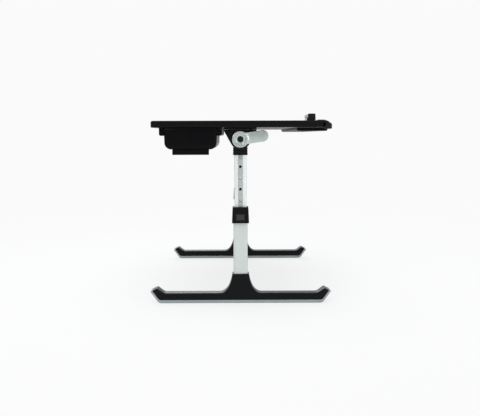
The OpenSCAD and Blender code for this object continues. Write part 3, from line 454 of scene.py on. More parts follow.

# %% [markdown]
# ### Leather pebbles
#
# Leatherette is embossed with rounded pebbles of about a millimetre, with thin
# creases between them. The distance to the edge of Voronoi cells is zero in
# the creases and grows towards the middle of a cell. Bending the coordinates
# with a noise first makes the cells uneven. The crease mask is used for
# painted shade in the creases.

# %% Pebble group
pebble, gi, go = group("pebble", {"Size": 0.0011}, "Height", "Crease")
coord = object_coord(pebble)
scale = maths(pebble, "DIVIDE", 1.0, gi["Size"])
bend = add_node(pebble, "TexNoise", Vector=coord, Scale=maths(pebble, "MULTIPLY", scale, 0.35), Detail=2.0)
shift = add_node(pebble, "VectorMath", {"operation": "SCALE"}, i0=bend.outputs["Color"],
                 Scale=maths(pebble, "MULTIPLY", gi["Size"], 1.5))
bent = add_node(pebble, "VectorMath", {"operation": "ADD"}, i0=coord, i1=shift.outputs[0])
cells = add_node(pebble, "TexVoronoi", {"feature": "DISTANCE_TO_EDGE"}, Vector=bent.outputs[0],
                 Scale=scale).outputs["Distance"]
close(pebble, go, Height=ramp(pebble, cells, 0.0, 0.32, smooth_ends=True),
      Crease=ramp(pebble, cells, 0.0, 0.1, 1.0, 0.0))

# %% [markdown]
# ### Handling
#
# No used surface has one tone. A slow noise of a few centimetres stands for
# handling and a thin film of dust, and a second, blotchy one for finger
# marks. The materials use it on roughness more than on colour.

# %% Handling group
handling, gi, go = group("handling", {"Size": 0.04}, "Tone", "Smudge")
coord = object_coord(handling)
scale = maths(handling, "DIVIDE", 1.0, gi["Size"])
slow = add_node(handling, "TexNoise", Vector=coord, Scale=scale, Detail=3.0, Roughness=0.55)
blotch = add_node(handling, "TexNoise", Vector=coord, Scale=maths(handling, "MULTIPLY", scale, 3.1),
                  Detail=4.0, Roughness=0.7)
close(handling, go, Tone=slow.outputs["Fac"], Smudge=ramp(handling, blotch.outputs["Fac"], 0.45, 0.72))

# %% [markdown]
# ### Edges
#
# Sharp edges of a moulding are always a little rounded, and paint or anodising
# is thinnest there. The Bevel node gives the normal of a rounded edge without
# any new faces. How far it leans from the true normal says how near an edge
# is, which makes a mask for wear and for a painted highlight along the edges.

# %% Edge group
edges, gi, go = group("edges", {"Radius": 0.0006, "Height": 0.0, "Bump": 0.2}, "Normal", "Edge")
round_edge = add_node(edges, "Bevel", {"samples": 4}, Radius=gi["Radius"])
true_normal = add_node(edges, "NewGeometry").outputs["Normal"]
lean = add_node(edges, "VectorMath", {"operation": "DOT_PRODUCT"}, i0=round_edge.outputs[0], i1=true_normal)
near = maths(edges, "SUBTRACT", 1.0, lean.outputs["Value"])
bump = add_node(edges, "Bump", Strength=gi["Bump"], Distance=0.0003,
                Height=gi["Height"], Normal=round_edge.outputs[0])
close(edges, go, Normal=bump.outputs[0], Edge=ramp(edges, near, 0.03, 0.3))

# %% [markdown]
# ### Drawn lines
#
# Extruded tubes keep faint lines along their length, and their anodising has a
# fine sparkle. A noise squeezed along the tube's length gives the lines.

# %% Drawn-line group
drawn, gi, go = group("drawn lines", {"Width": 0.0004}, "Height", "Tone")
long = add_node(drawn, "Mapping", Vector=object_coord(drawn), Scale=(1.0, 1.0, 0.012)).outputs[0]
scale = maths(drawn, "DIVIDE", 1.0, gi["Width"])
lines = add_node(drawn, "TexNoise", Vector=long, Scale=scale, Detail=3.0, Roughness=0.7)
broad = add_node(drawn, "TexNoise", Vector=long, Scale=maths(drawn, "MULTIPLY", scale, 0.16), Detail=2.0)
close(drawn, go, Height=lines.outputs["Fac"], Tone=broad.outputs["Fac"])

# %% [markdown]
# ### Channel
#
# The inner tube has a channel along its outer side, with the row of holes in
# its floor. Its colour is darkened there as painted shade in the recess. The
# mask is 1 where a point lies within half the channel's width of the leg's
# middle plane, on the side of the tube that looks outwards.

# %% Channel group
channel, gi, go = group("channel", {"Half Width": 0.004, "Face": 0.2305}, "Mask")
spot = add_node(channel, "SeparateXYZ", i0=object_coord(channel)).outputs
inside = maths(channel, "LESS_THAN", maths(channel, "ABSOLUTE", spot["Y"]), gi["Half Width"])
outward = maths(channel, "GREATER_THAN", maths(channel, "ABSOLUTE", spot["X"]), gi["Face"])
close(channel, go, Mask=maths(channel, "MULTIPLY", inside, outward))

# %% [markdown]
# ## Materials
#
# A material here is one Principled shader. Its base colour is the finish's
# own colour, made slightly lighter or darker by the handling tone and dust,
# by painted shade in creases and in the tube's channel, and by the edge mask,
# which is wear and a painted highlight. Its roughness changes with the same
# masks. Its normal comes from the edge group, with the grain, pebbles or lines
# as the bump's height.

# %% Helpers for materials
def use(tree, shared, **inputs):
    """Places a shared group with its own inputs and returns its outputs."""
    return add_node(tree, "Group", {"node_tree": shared}, **inputs).outputs


def blend(tree, factor, a, b):
    """Colour a where factor is 0 and b where it is 1."""
    a, b = (c if isinstance(c, bpy.types.NodeSocket) else (*c, 1) for c in (a, b))
    return add_node(tree, "Mix", {"data_type": "RGBA"}, i0=factor, i6=a, i7=b).outputs[2]


def finish(name, colour, roughness, texture="grain", size=0.0005, bump=0.25, spread=0.08,
           edge=0.25, radius=0.0006, channel_shade=0, **fixed):
    """A material: colour and roughness vary by spread, edges lighten by edge.

    base = colour * (1 - spread + 2 * spread * tone), a little darker in
    smudges and, as painted shade, in creases. The edge mask times edge mixes
    it towards 1.6 * colour + 0.07 * edge, which is wear and a painted
    highlight, and the channel mask times channel_shade towards a fifth of the
    colour, which is painted shade in the channel. roughness = roughness +
    spread * (smudge - 0.5) + 0.06 * height. fixed sets plain Principled sockets.
    """
    mat = bpy.data.materials.new(name)
    mat.use_nodes = True
    tree = mat.node_tree
    shader = tree.nodes["Principled BSDF"]
    colour = np.array(colour, float)
    shared = {"grain": grain, "pebble": pebble, "drawn": drawn}[texture]
    relief = use(tree, shared, **{"Width" if texture == "drawn" else "Size": size})
    touch = use(tree, handling)
    rim = use(tree, edges, Radius=radius, Height=relief["Height"], Bump=bump)
    tone = ramp(tree, (relief if texture == "drawn" else touch)["Tone"], 0.3, 0.7)
    base = blend(tree, tone, colour * (1 - spread), np.minimum(colour * (1 + spread), 1))
    # painted shade darkens the leatherette's creases; on other finishes finger smudges darken it a little
    crease_shade_and_smudge, darker = (relief["Crease"], 0.55) if texture == "pebble" else (touch["Smudge"], 0.93)
    base = blend(tree, maths(tree, "MULTIPLY", crease_shade_and_smudge, 0.35), base, colour * darker)
    # the edge mask lightens the colour: wear and a painted highlight
    light = np.minimum(colour * 1.6 + 0.07 * edge, 0.95)
    base = blend(tree, maths(tree, "MULTIPLY", rim["Edge"], edge), base, light)
    # painted shade in the inner tube's channel
    if channel_shade:
        cut = maths(tree, "MULTIPLY", use(tree, channel)["Mask"], channel_shade)
        base = blend(tree, cut, base, colour * 0.2)
    rough = maths(tree, "ADD", roughness - spread / 2, maths(tree, "MULTIPLY", touch["Smudge"], spread))
    rough = maths(tree, "ADD", rough, maths(tree, "MULTIPLY", relief["Height"], 0.06), clamp=True)
    for socket, value in (("Base Color", base), ("Roughness", rough), ("Normal", rim["Normal"])):
        tree.links.new(value, shader.inputs[socket])
    for socket, value in fixed.items():
        shader.inputs[socket.replace("_", " ")].default_value = value
    return mat


# %% [markdown]
# ### The finishes
#
# The colours were read off the photograph and lightened or darkened
# until the render agreed. Blacks are never zero: the mouldings reflect about
# half a per cent, the leatherette a little more. The tubes are aluminium with
# a slightly green, cool anodising, and the lever is silver paint on a casting.

# %% Finishes
DULL = {"Specular_IOR_Level": 0.08}
# these mouldings get wear and a strong painted highlight on their edges
WEAR_AND_HIGHLIGHT = {"bump": 0.2, "edge": 0.9, **DULL}  # mouldings whose edges catch the light
METAL = {"size": 0.0004, "Metallic": 1.0}
TUBE = {"texture": "drawn", "size": 0.0004, "Metallic": 0.6}
MAT = {
    "board": finish("black laminate", (0.0050, 0.0050, 0.0055), 0.36, size=0.0007, bump=0.12, edge=0.4,
        radius=0.0008, **DULL),
    "leatherette": finish("leatherette", (0.0060, 0.0060, 0.0065), 0.5, "pebble", size=0.0013,
        bump=0.55, **DULL),
    "rest_leather": finish("padded leatherette", (0.0065, 0.0065, 0.0070), 0.42, "pebble", size=0.0011,
        bump=0.45, Specular_IOR_Level=0.2),
    "black_plastic": finish("textured black moulding", (0.0050, 0.0050, 0.0055), 0.42, bump=0.2, **DULL),
    "gloss_black": finish("polished black moulding", (0.0040, 0.0040, 0.0045), 0.14, size=0.002,
        bump=0.02, edge=0.1, Coat_Weight=0.3, Coat_Roughness=0.06),
    "pad_grey": finish("pale silicone", (0.50, 0.53, 0.50), 0.48, size=0.0008, bump=0.08, spread=0.05,
        edge=0.2),
    "drawer_plastic": finish("satin black moulding", (0.0035, 0.0035, 0.0040), 0.22, bump=0.04,
        Specular_IOR_Level=0.06),
    "black_cast": finish("black hinge casting", (0.0055, 0.0055, 0.0060), 0.36, size=0.0007,
        radius=0.0011, **WEAR_AND_HIGHLIGHT),
    "black_steel": finish("blackened steel", (0.035, 0.035, 0.04), 0.36, bump=0.1, radius=0.0004, **METAL),
    "plain_steel": finish("bright steel", (0.55, 0.56, 0.57), 0.28, bump=0.05, radius=0.0004, **METAL),
    "washer_brass": finish("brass", (0.60, 0.47, 0.24), 0.32, bump=0.08, radius=0.0003, **METAL),
    "lever_silver": finish("silver paint", (0.50, 0.56, 0.53), 0.36, size=0.0009, bump=0.35, spread=0.14,
        edge=0.3, Metallic=0.8),
    "head_plastic": finish("black leg head", (0.0060, 0.0060, 0.0065), 0.36, radius=0.0010, **WEAR_AND_HIGHLIGHT),
    "anodised": finish("anodised aluminium", (0.84, 0.89, 0.88), 0.40, bump=0.12, spread=0.05, edge=0.2,
        radius=0.0004, channel_shade=0.5, **TUBE),
    "anodised_pale": finish("pale anodised aluminium", (0.66, 0.71, 0.69), 0.48, bump=0.10, spread=0.04,
        edge=0.1, radius=0.0005, **TUBE),
    "collar_plastic": finish("black collar moulding", (0.0065, 0.0065, 0.0070), 0.38, radius=0.0010,
        **WEAR_AND_HIGHLIGHT),
    "spring_steel": finish("spring steel", (0.5, 0.47, 0.38), 0.3, bump=0.05, radius=0.0002, **METAL),
    "foot_plastic": finish("foot moulding", (0.0050, 0.0055, 0.0065), 0.28, size=0.0006, bump=0.06,
        edge=0.4, radius=0.0008, Specular_IOR_Level=0.10),
    "sole_grey": finish("grey sole", (0.31, 0.345, 0.35), 0.58, size=0.0006, bump=0.2, spread=0.06,
        edge=0.2),
    "button_grey": finish("grey button", (0.032, 0.034, 0.036), 0.42, bump=0.2, edge=0.5, radius=0.0005,
        Specular_IOR_Level=0.2),
}
for name, obj in nodes.items():
    material = MAT[slot_of[name]]
    if not obj.material_slots:
        obj.data.materials.append(material)
    for slot in obj.material_slots:
        slot.material = material
print(len(MAT), "finishes on", len(nodes), "nodes")

# %% [markdown]
# ## Shapes: an outline with rounded rims
#
# Most pieces of this stand are flat shapes with a rounded rim: the board, the
# lever, the feet, the stopper. One surface makes them all. Its first
# parameter runs round the outline, and its second runs over the rim: round a
# quarter circle at one face, along the side and round a second quarter circle.
# One more ring on each face, a hair further in, holds the face flat, so that
# its shading doesn't bend towards the rim. A bevel modifier could do it too,
# but a worked-out rim can change its radius along the outline, as the feet need.

# %% Outlines
def fillet_corners(corners, steps=6):
    """A closed outline from (x, y, radius) corners.

    Each corner b between a and c becomes an arc. Its centre lies on the
    bisector at r / sin(h) from b, where h is half the corner's angle, and the
    arc joins the two points at r / tan(h) from b on the sides.
    """
    pts = np.array([c[:2] for c in corners], float)
    out = []
    for k, (x, y, r) in enumerate(corners):
        b = pts[k]
        if r <= 0:
            out.append(b[None])
            continue
        p, q = pts[k - 1] - b, pts[(k + 1) % len(pts)] - b
        p, q = p / np.linalg.norm(p), q / np.linalg.norm(q)
        half = math.acos(np.clip(p @ q, -1, 1)) / 2
        middle = b + (p + q) / np.linalg.norm(p + q) * r / math.sin(half)
        start = b + p * r / math.tan(half) - middle
        turn = (1 if p[0] * q[1] - p[1] * q[0] < 0 else -1) * np.linspace(0, math.pi - 2 * half, steps + 1)
        out.append(middle + np.column_stack([start[0] * np.cos(turn) - start[1] * np.sin(turn),
                                             start[0] * np.sin(turn) + start[1] * np.cos(turn)]))
    return np.concatenate(out)


def resample(outline, longest):
    """The outline with extra points, so that no side is longer than longest."""
    ends = np.roll(outline, -1, axis=0)
    count = np.maximum(1, np.ceil(np.linalg.norm(ends - outline, axis=1) / longest)).astype(int)
    side = np.repeat(np.arange(len(outline)), count)
    share = (np.arange(len(side)) - np.repeat(np.cumsum(count) - count, count)) / count[side]
    return outline[side] + (ends - outline)[side] * share[:, None]


def inward(outline):
    """Mitred inward directions of an outline: moving by d times these keeps every side d away.

    The least squared length of 0.4 keeps the mitre of a very sharp corner short.
    """
    area = np.sum(outline[:, 0] * np.roll(outline[:, 1], -1) - outline[:, 1] * np.roll(outline[:, 0], -1))
    side = np.roll(outline, -1, axis=0) - outline
    side /= np.maximum(np.linalg.norm(side, axis=1, keepdims=True), 1e-12)
    normal = np.column_stack([-side[:, 1], side[:, 0]]) * (1 if area > 0 else -1)
    before = np.roll(normal, 1, axis=0)
    total = before + normal
    return 2 * total / np.maximum(np.sum(total * total, axis=1, keepdims=True), 0.4)


HOLD = 0.2  # mm from the rim to the ring that holds a face flat


def quarter(radius, steps):
    """Inset and level round a quarter circle: radius * (1 - sin t) and radius * (1 - cos t)."""
    t = np.linspace(0, np.pi / 2, steps)
    return radius * (1 - np.sin(t)), radius * (1 - np.cos(t))


def rimmed(name, outline, axis, low, high, rim, rim_high=None, weight=None, steps=5):
    """A flat shape between low and high along axis, its rims rounded.

    Points: outline + inward * rim * weight * (1 - sin t) at low + rim * weight
    * (1 - cos t) for t from 0 to 90 degrees, then the same mirrored at high.
    One more ring lies HOLD further in on each flat face and keeps it flat.
    The outline is in the other two axes, in millimetres: (Y, Z) for x,
    (X, Z) for y and (X, Y) for z. Its convex corners are sharp or have a
    radius over rim * weight + HOLD, or their arcs would turn inside out.
    """
    weight = np.ones(len(outline)) if weight is None else weight
    (in_low, up), (in_high, down) = quarter(rim, steps), quarter(rim if rim_high is None else rim_high, steps)
    inset = np.concatenate([in_low, in_high[::-1]])[:, None] * weight
    inset = np.concatenate([inset[:1] + HOLD, inset, inset[-1:] + HOLD])
    level = np.concatenate([low + up[:, None] * weight, high - down[::-1, None] * weight])
    level = np.concatenate([level[:1], level, level[-1:]])
    flat = outline[None] + inset[..., None] * inward(outline)[None]
    return smooth(mesh_object(name, place(flat, level, axis) * MM, capped_faces(*level.shape)))


def place(flat, level, axis):
    """(X, Y, Z) of outline coordinates and a level along axis."""
    a, b = flat[..., 0], flat[..., 1]
    order = {"x": (level, a, b), "y": (a, level, b), "z": (a, b, level)}[axis]
    return np.stack(np.broadcast_arrays(*order), -1)


def capped_faces(rows, columns):
    """Quads of a grid whose rows are closed rings, and one flat face over its first and last ring."""
    return [*grid_faces(rows, columns, False, True), range(columns)[::-1],
            range((rows - 1) * columns, rows * columns)]


def smooth(obj, angle=38):
    """Smooth shading over edges that turn by less than the angle."""
    mesh = obj.data
    mesh.polygons.foreach_set("use_smooth", np.ones(len(mesh.polygons), bool))
    mesh.set_sharp_from_angle(angle=math.radians(angle))
    return obj


def sharp(points):
    """Corners without a radius at rows of two coordinates."""
    return [(a, b, 0) for a, b in points]


def round_in(h, radius):
    """How far a side has drawn in at height h of a round edge: R - sqrt(R^2 - (R - h)^2)."""
    return radius - np.sqrt(np.maximum(radius ** 2 - np.maximum(radius - h, 0) ** 2, 0))


def span(node):
    """Lowest and highest corner of a CAD node in millimetres, as two rows."""
    return np.array([list(corner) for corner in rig.box(node)]) / MM


def dress(obj, node):
    """Gives a piece its finish, its body and the CAD node it stands for."""
    obj.data.materials.clear()
    obj.data.materials.append(MAT[slot_of[node]])
    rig.slot(obj, slot_of[node])
    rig.ride(obj, body_of[node])
    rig.replaces(obj, node)
    print(obj.name, len(obj.data.polygons), "faces on", body_of[node])
    return obj


# %% [markdown]
# ## The top
#
# The board is laminated fibreboard with a black edge strip, and a millimetre
# of leatherette is bonded to it. Both have the plan of the top with a notch
# for the stopper. The board's rim is rounded by about a millimetre and a half,
# which gives the thin line of light along its near end.

# %% Board and leatherette
CORNER_R = 12.0  # of the top's corners, seen from above
SKIN_INSET = 1.2  # how much smaller the leatherette's radius is
NOTCH_GAP = 0.2  # all round the stopper's well
LAYERS = {  # piece: node, corner radius, rim below, rim above
    "board": ("top_panel", CORNER_R, 1.5, 0.4),
    "leatherette": ("top_skin", CORNER_R - SKIN_INSET, 0.05, 0.6),
}
front_y = span("left_wrist_rest")[0][1]


def top_plan(node, corner_r):
    """Plan of the top: two round corners at the back, the front cut straight and notched for the well.

    A cut inside the front corners' arcs leaves the arc from 180 degrees to
    180 + asin(depth / radius) at each end. Every layer's corner has the same centre.
    """
    (x0, y0), (x1, y1) = span(node)[:, :2]
    (w0, _, _), (w1, wy, _) = span("stopper_well")
    w0, w1, wy = w0 - NOTCH_GAP, w1 + NOTCH_GAP, wy + NOTCH_GAP
    depth = max(0.0, front_y + CORNER_R - y0)
    a = math.pi + np.linspace(0, math.asin(depth / corner_r), 3 if depth else 1)
    arc = np.column_stack([x0 + corner_r * (1 + np.cos(a)), front_y + CORNER_R + corner_r * np.sin(a)])
    arc[-1, 1] = y0
    other = np.column_stack([x0 + x1 - arc[::-1, 0], arc[::-1, 1]])
    notch = [(w0, y0), (w0, wy), (w1, wy), (w1, y0)]
    return fillet_corners([(x1, y1, corner_r), (x0, y1, corner_r), *sharp(arc), *sharp(notch),
                           *sharp(other)], 12)


for name, (node, corner_r, rim, rim_high) in LAYERS.items():
    z0, z1 = span(node)[:, 2]
    dress(rimmed(name, top_plan(node, corner_r), "z", z0, z1, rim, rim_high), node)

# %% [markdown]
# ## The padded wrist rests
#
# A strip of foam under leatherette runs along the front edge, on both sides
# of the stopper. It is crowned, drops over a round nose and is tucked under
# the board. One section is carried along the top. Near the end of the top the
# section is squeezed into the round corner, and near both of its ends it
# draws down a little, as stuffed leatherette does at a seam. Shallow waves
# along the nose stand for the pull of the cover over the foam.

# %% Wrist rests
SEAM_Z = 314.05  # where the cover meets the leatherette
TUCK_Z = 303.65  # up to which the cover is tucked in behind its lip
BOARD_Y = 7.0  # from the rest's front to the board's front
TUCK = 2.0  # how far the lip reaches in under the board


def rest_section(low, high):
    """The rest's closed section in (Y, Z), anticlockwise seen from +X, starting at the seam."""
    (_, front, lip), (_, back, crown) = low, high
    board = front + BOARD_Y
    return fillet_corners([
        (back, SEAM_Z, 0.3), (back, crown, 2.1), (front + 10.9, crown, 14), (front, crown - 6.5, 4),
        (front, lip, 2.2), (board + TUCK, lip, 0.6), (board + TUCK, TUCK_Z, 0.2), (board, TUCK_Z, 0),
        (board, SEAM_Z, 0)], 8)


def wrist_rest(name, node):
    """The section swept along X, squeezed in depth and height by functions of X.

    With s the distance from the top's end, the front follows the plan's
    corner, front + r - sqrt(r^2 - (r - s)^2). Height above the lip is
    multiplied by 1 - 0.075 * exp(-d / 2 mm), d being the distance to the
    nearer end, and the outer skin moves by 0.11 mm of slow waves. The
    stations lie close together in the round corner and near the ends.
    """
    low, high = span(node)
    length, depth = (high - low)[:2]
    s = np.concatenate([CORNER_R * (1 - np.cos(np.linspace(0, np.pi / 2, 20)[1:])),
                        np.linspace(CORNER_R, length, 130)[1:]])
    s = np.concatenate([[0.0, 0.15, 0.5, 1.0], s[s > 1.3]])
    s = np.sort(np.concatenate([s[s < length - 3], length - np.array([3, 2, 1.2, 0.6, 0.2, 0.0])]))
    section = resample(rest_section(low, high), 1.2)
    across, up = section[None, :, 0], section[None, :, 1]
    shrink = (depth - round_in(s, CORNER_R)) / depth
    y = high[1] - (high[1] - across) * shrink[:, None]
    end = np.minimum(s + 0.3, length - s)[:, None]
    z = low[2] + (up - low[2]) * (1 - 0.075 * np.exp(-end / 2.0))
    outer = np.clip((high[1] - 7 - across) / 6, 0, 1) * np.clip((up - low[2] - 2) / 4, 0, 1)
    inner = np.clip(np.minimum(s, length - s) / 12, 0, 1)[:, None]
    slow = np.sin(s / 7.1 + 1.3) * 0.5 + np.sin(s / 3.3 + 0.4 * np.sin(s / 19)) * 0.3
    slow = (slow + np.sin(s / 23.0) * 0.6)[:, None]
    wave = slow * np.sin(up / 5.0 + s[:, None] / 40)
    y = y + 0.11 * (wave + 1.4) * outer * inner
    x = low[0] + s if low[0] < 0 else high[0] - s
    points = np.stack(np.broadcast_arrays(x[:, None], y, z), -1)
    return smooth(mesh_object(name, points * MM, capped_faces(*y.shape)), 50)


for side in ("left", "right"):
    rest = dress(wrist_rest(side + "_padded_rest", side + "_wrist_rest"), side + "_wrist_rest")
    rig.padded(rest, fill=0.9)

# %% [markdown]
# A cover is closed by a seam where its strip meets the flat leatherette. The
# stitches are short slanted threads in a shallow row, one about every three
# millimetres. A bump map would leave their shadows out, so each is a real tube.

# %% Stitches
THREAD_GRID = 6  # rings along one stitch, and points round each ring
SEAM_Y = 29.2  # from the rest's front to the row
THREAD_Z = 315.0


def stitches(name, x0, x1, y, z, pitch=3.2, length=2.1, r=0.22):
    """A row of slanted threads along X.

    With t from 0 to 1 along a stitch, its middle line rises by
    r / 2 * sin(pi t) and its radius is r * sqrt(sin(pi t)), which stops
    short of zero at both ends.
    """
    count, n = int((x1 - x0) / pitch), THREAD_GRID
    start = x0 + (np.arange(count) + 0.5) * (x1 - x0) / count
    t = np.linspace(0, 1, n)
    a = np.linspace(0, 2 * np.pi, n, endpoint=False)
    lift = 0.5 * r * np.sin(np.pi * t)[None, :, None]
    thick = (r * np.sqrt(np.clip(np.sin(np.pi * np.clip(t, 0.04, 0.96)), 0, 1)))[None, :, None]
    px = start[:, None, None] + ((t - 0.5) * length)[None, :, None]
    py = y + ((t - 0.5) * 0.5)[None, :, None] + thick * np.cos(a)
    pz = z + lift + thick * np.sin(a)
    points = np.stack(np.broadcast_arrays(px, py, pz), -1)
    first = (np.arange(count) * n * n)[:, None]
    tubes = (grid_faces(n, n, False, True)[None] + first[..., None]).reshape(-1, 4)
    caps = np.concatenate([np.arange(n)[None, ::-1] + first, np.arange(n * n - n, n * n)[None] + first])
    return mesh_object(name, points * MM, [*tubes, *caps])


thread = finish("black thread", (0.016, 0.016, 0.017), 0.6, size=0.0002, bump=0.3)
for side, (x0, x1) in {"left": (-257, -31), "right": (31, 257)}.items():
    row = stitches(side + "_stitches", x0, x1, front_y + SEAM_Y, THREAD_Z)
    row.data.materials.append(thread)
    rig.slot(row, "rest_leather")
    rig.ride(row, "tabletop")
    print(row.name, len(row.data.polygons), "faces")

# %% [markdown]
# ## The stopper
#
# A polished black bar flips up out of its well and holds the laptop's lower
# edge on a tilted top. Seen from its end it is a tall block with soft corners
# and a small ledge behind, on which a pale silicone pad sits. Both are the
# CAD's sections with rounded rims at their ends.

# %% Stopper bar and pad
BARREL_R = 3.3  # of the barrel round the pin
PIN_Y = 7.8  # from the front to the pin
FOOT_DROP = 2.0  # from the pin's axis down to the block's underside
LEDGE_Z = 318.3


def bar_section():
    """Section of the bar in (Y, Z): block, ledge, foot, and the barrel's arc round the pin."""
    (_, y0, z0), (_, y1, z1) = span("stopper_bar")
    (_, p0, pz0), _ = span("stopper_pad")
    y, z = front_y + PIN_Y, z0 + BARREL_R
    foot_z = z - FOOT_DROP
    dip = math.asin(FOOT_DROP / BARREL_R)
    a = np.linspace(-dip, dip - math.pi, 12)
    barrel = np.column_stack([y + BARREL_R * np.cos(a), z + BARREL_R * np.sin(a)])
    return fillet_corners([
        (y0, foot_z, 1.6), (y0 + 0.9, z1, 1.6), (p0, z1, 1.2), (p0, pz0, 0), (y1, pz0, 1.2),
        (y1, LEDGE_Z, 1.2), (p0, LEDGE_Z, 0.8), (p0, foot_z, 2.0), *sharp(barrel)], 7)


x0, x1 = span("stopper_bar")[:, 0]
dress(rimmed("stopper", resample(bar_section(), 2.5), "x", x0, x1, 0.95), "stopper_bar")
(x0, y0, z0), (x1, y1, z1) = span("stopper_pad")
pad_section = fillet_corners([(y0, z0, 0), (y0, z1, 0.8), (y1, z1, 1.6), (y1, z0, 0.9)], 7)
dress(rimmed("stopper_cushion_strip", resample(pad_section, 2), "x", x0, x1, 0.6), "stopper_pad")

# %% [markdown]
# ## The drawer
#
# The bin is one moulding: thin walls, a flat floor, and long bottom edges
# rounded to eleven millimetres. Its surface is a stack of rounded rectangles,
# from the floor's underside up the outside, over the rim and down the inside.
# A solidified box would be quicker, but its bottom edges would have one radius
# all round. The flanges that run in the rails, with their catches, are
# separate rimmed strips joined to it.

# %% Bin
BIN_R, END_R = 11.0, 2.5  # of the bottom edges along and across the bin
BIN_HALF_WIDTH = 44.5
WALL, DRAFT = 2.2, 0.9  # thickness, and how far a side leans in over its height
BIN_RIM = 0.7  # height of the round rim
CORNER_OUT, CORNER_IN = 2.4, 1.2  # radii of the upright corners
FLANGE_Z = 303.7 - 7  # underside of the flanges that run in the rails
FLANGE_ROOT = 43.4  # from the bin's middle to where a flange leaves the wall
CATCH_X, CATCH_LENGTH = 156.3, 4.0  # from the bin's end to a flange's catch, and along it


def rectangle_ring(x_half, y_half, r, steps=5):
    """A rounded rectangle of half sizes x_half, y_half and corner radius r, as rings for array sizes."""
    a = np.linspace(0, np.pi / 2, steps)
    turns = np.concatenate([a + k * np.pi / 2 for k in range(4)])
    sx = np.repeat([1, -1, -1, 1], steps)
    sy = np.repeat([1, 1, -1, -1], steps)
    x = sx * (x_half - r)[:, None] + r[:, None] * np.cos(turns)
    y = sy * (y_half - r)[:, None] + r[:, None] * np.sin(turns)
    return x, y


def tub(name):
    """Rings at rising heights outside and falling heights inside.

    At height h over the floor's underside the half sizes are the full ones
    minus R - sqrt(R^2 - (R - h)^2) below the bottom radius R, and minus the
    draft times (1 - h / depth). R is BIN_R across the bin and END_R along it.
    The rim between the walls is half an ellipse, WALL wide and BIN_RIM high.
    """
    (x0, y0, z0), (x1, y1, z1) = span("drawer_bin")
    x_half, depth = (x1 - x0) / 2, z1 - z0

    def shell(h, inset):
        x = x_half - inset - round_in(h, END_R - inset * 0.4)
        y = BIN_HALF_WIDTH - inset - DRAFT * (1 - h / depth) - round_in(h, BIN_R - inset)
        return x, y

    h_out = np.concatenate([BIN_R * (1 - np.cos(np.linspace(0, np.pi / 2, 14))),
                            np.linspace(BIN_R, depth - BIN_RIM, 5)[1:]])
    h_in = np.concatenate([[0.0, 0.1, 0.4, 0.9, 1.6, 2.5, 3.6, 5.2, 7.2, 9.8],
                           np.linspace(12, depth - WALL - 0.6, 5)])
    (ox, oy), (ix, iy) = shell(h_out, 0.0), shell(h_in, WALL)
    t = np.linspace(0, np.pi, 7)[1:-1]
    over = WALL / 2 * np.cos(t) - WALL / 2
    xs = np.concatenate([ox, x_half + over, ix[::-1]])
    ys = np.concatenate([oy, BIN_HALF_WIDTH + over, iy[::-1]])
    zs = np.concatenate([h_out, depth - BIN_RIM + BIN_RIM * np.sin(t), h_in[::-1] + WALL])
    corner = np.concatenate([np.full(len(ox), CORNER_OUT), np.linspace(CORNER_OUT, CORNER_IN, len(t)),
                             np.full(len(ix), CORNER_IN)])
    x, y = rectangle_ring(xs, ys, np.minimum(corner, np.minimum(xs, ys) * 0.9))
    z = np.broadcast_to((z0 + zs)[:, None], x.shape)
    points = np.stack([(x0 + x1) / 2 + x, (y0 + y1) / 2 + y, z], -1)
    return mesh_object(name, points * MM, capped_faces(*x.shape))


def join(first, *others):
    """One object from several: their meshes are joined and the names of the rest go."""
    with bpy.context.temp_override(active_object=first, selected_editable_objects=[first, *others]):
        bpy.ops.object.join()
    return first


def box_outline(a0, b0, a1, b1):
    """A rectangle outline from (a0, b0) to (a1, b1)."""
    return np.array([(a1, b0), (a1, b1), (a0, b1), (a0, b0)], float)


(x0, y0), (x1, y1) = span("drawer_bin")[:, :2]
middle = (y0 + y1) / 2
strips = []
for side in (-1, 1):
    a0, a1 = sorted((middle + side * (y1 - y0) / 2, middle + side * FLANGE_ROOT))
    flange = box_outline(a0, FLANGE_Z, a1, FLANGE_Z + 3)
    catch = box_outline(a0, FLANGE_Z + 2.9, a1, FLANGE_Z + 4)
    strips.append(rimmed(f"flange{side}", flange, "x", x0 + 0.5, x1 - 0.5, 0.4))
    strips.append(rimmed(f"catch{side}", catch, "x", x0 + CATCH_X, x0 + CATCH_X + CATCH_LENGTH, 0.3))
dress(join(smooth(tub("drawer")), *strips), "drawer_bin")

# %% [markdown]
# The finger pull is an angle under the drawer's front: a plate screwed to the
# floor and a lip that hangs down. Its section is carried across the drawer,
# with soft ends.

# %% Pull
(x0, y0, z0), (x1, y1, z1) = span("drawer_pull")
lip = fillet_corners([(x0, z1, 0), (x0, z0, 1.2), (x0 + 4, z0, 1.4), (x0 + 4, z1 - 2.5, 2.5),
                      (x1, z1 - 2.5, 1.2), (x1, z1, 0)], 7)
dress(rimmed("pull", resample(lip, 2), "y", y0, y1, 0.9), "drawer_pull")

# %% [markdown]
# ## The clamp levers
#
# Each lever is a casting in silver paint: a round hub with a raised ring, a
# bolt recess in its middle, and a flat arm with a fine bright edge. Seen from
# the end of the stand it is a disc that runs into a strip with a round tip, so
# its surface is worked out in rings round the hub: circles near the recess,
# which turn into the outline of the whole lever further out.

# %% Lever
LEVER = {"hub": 14.1, "tip": 9.7, "reach": 38.0, "fillet": 4.0}
LEVER_ANGLE = 8.5  # degrees by which the arm rises towards its tip
AXIS_Z = 284.0  # height of the tilt axis
HOLE_R = 4.05
FACE_START = 12.4  # radius from which the rings turn into the outline
ARM_RIM = 1.1
HUB_BACK, ARM_THINNER = 9.0, 1.6  # the hub's depth, and how much less the arm has
HUB_RINGS = ((HOLE_R, 8.9), (HOLE_R, 5.0), (5.15, 4.9), (5.15, 2.3), (5.3, 1.95), (5.8, 1.8), (8.3, 1.8),
             (8.6, 1.65), (9.3, 0.3), (9.9, 0.03), (11.0, 0.0), (12.3, 0.0))  # radius, depth behind the face


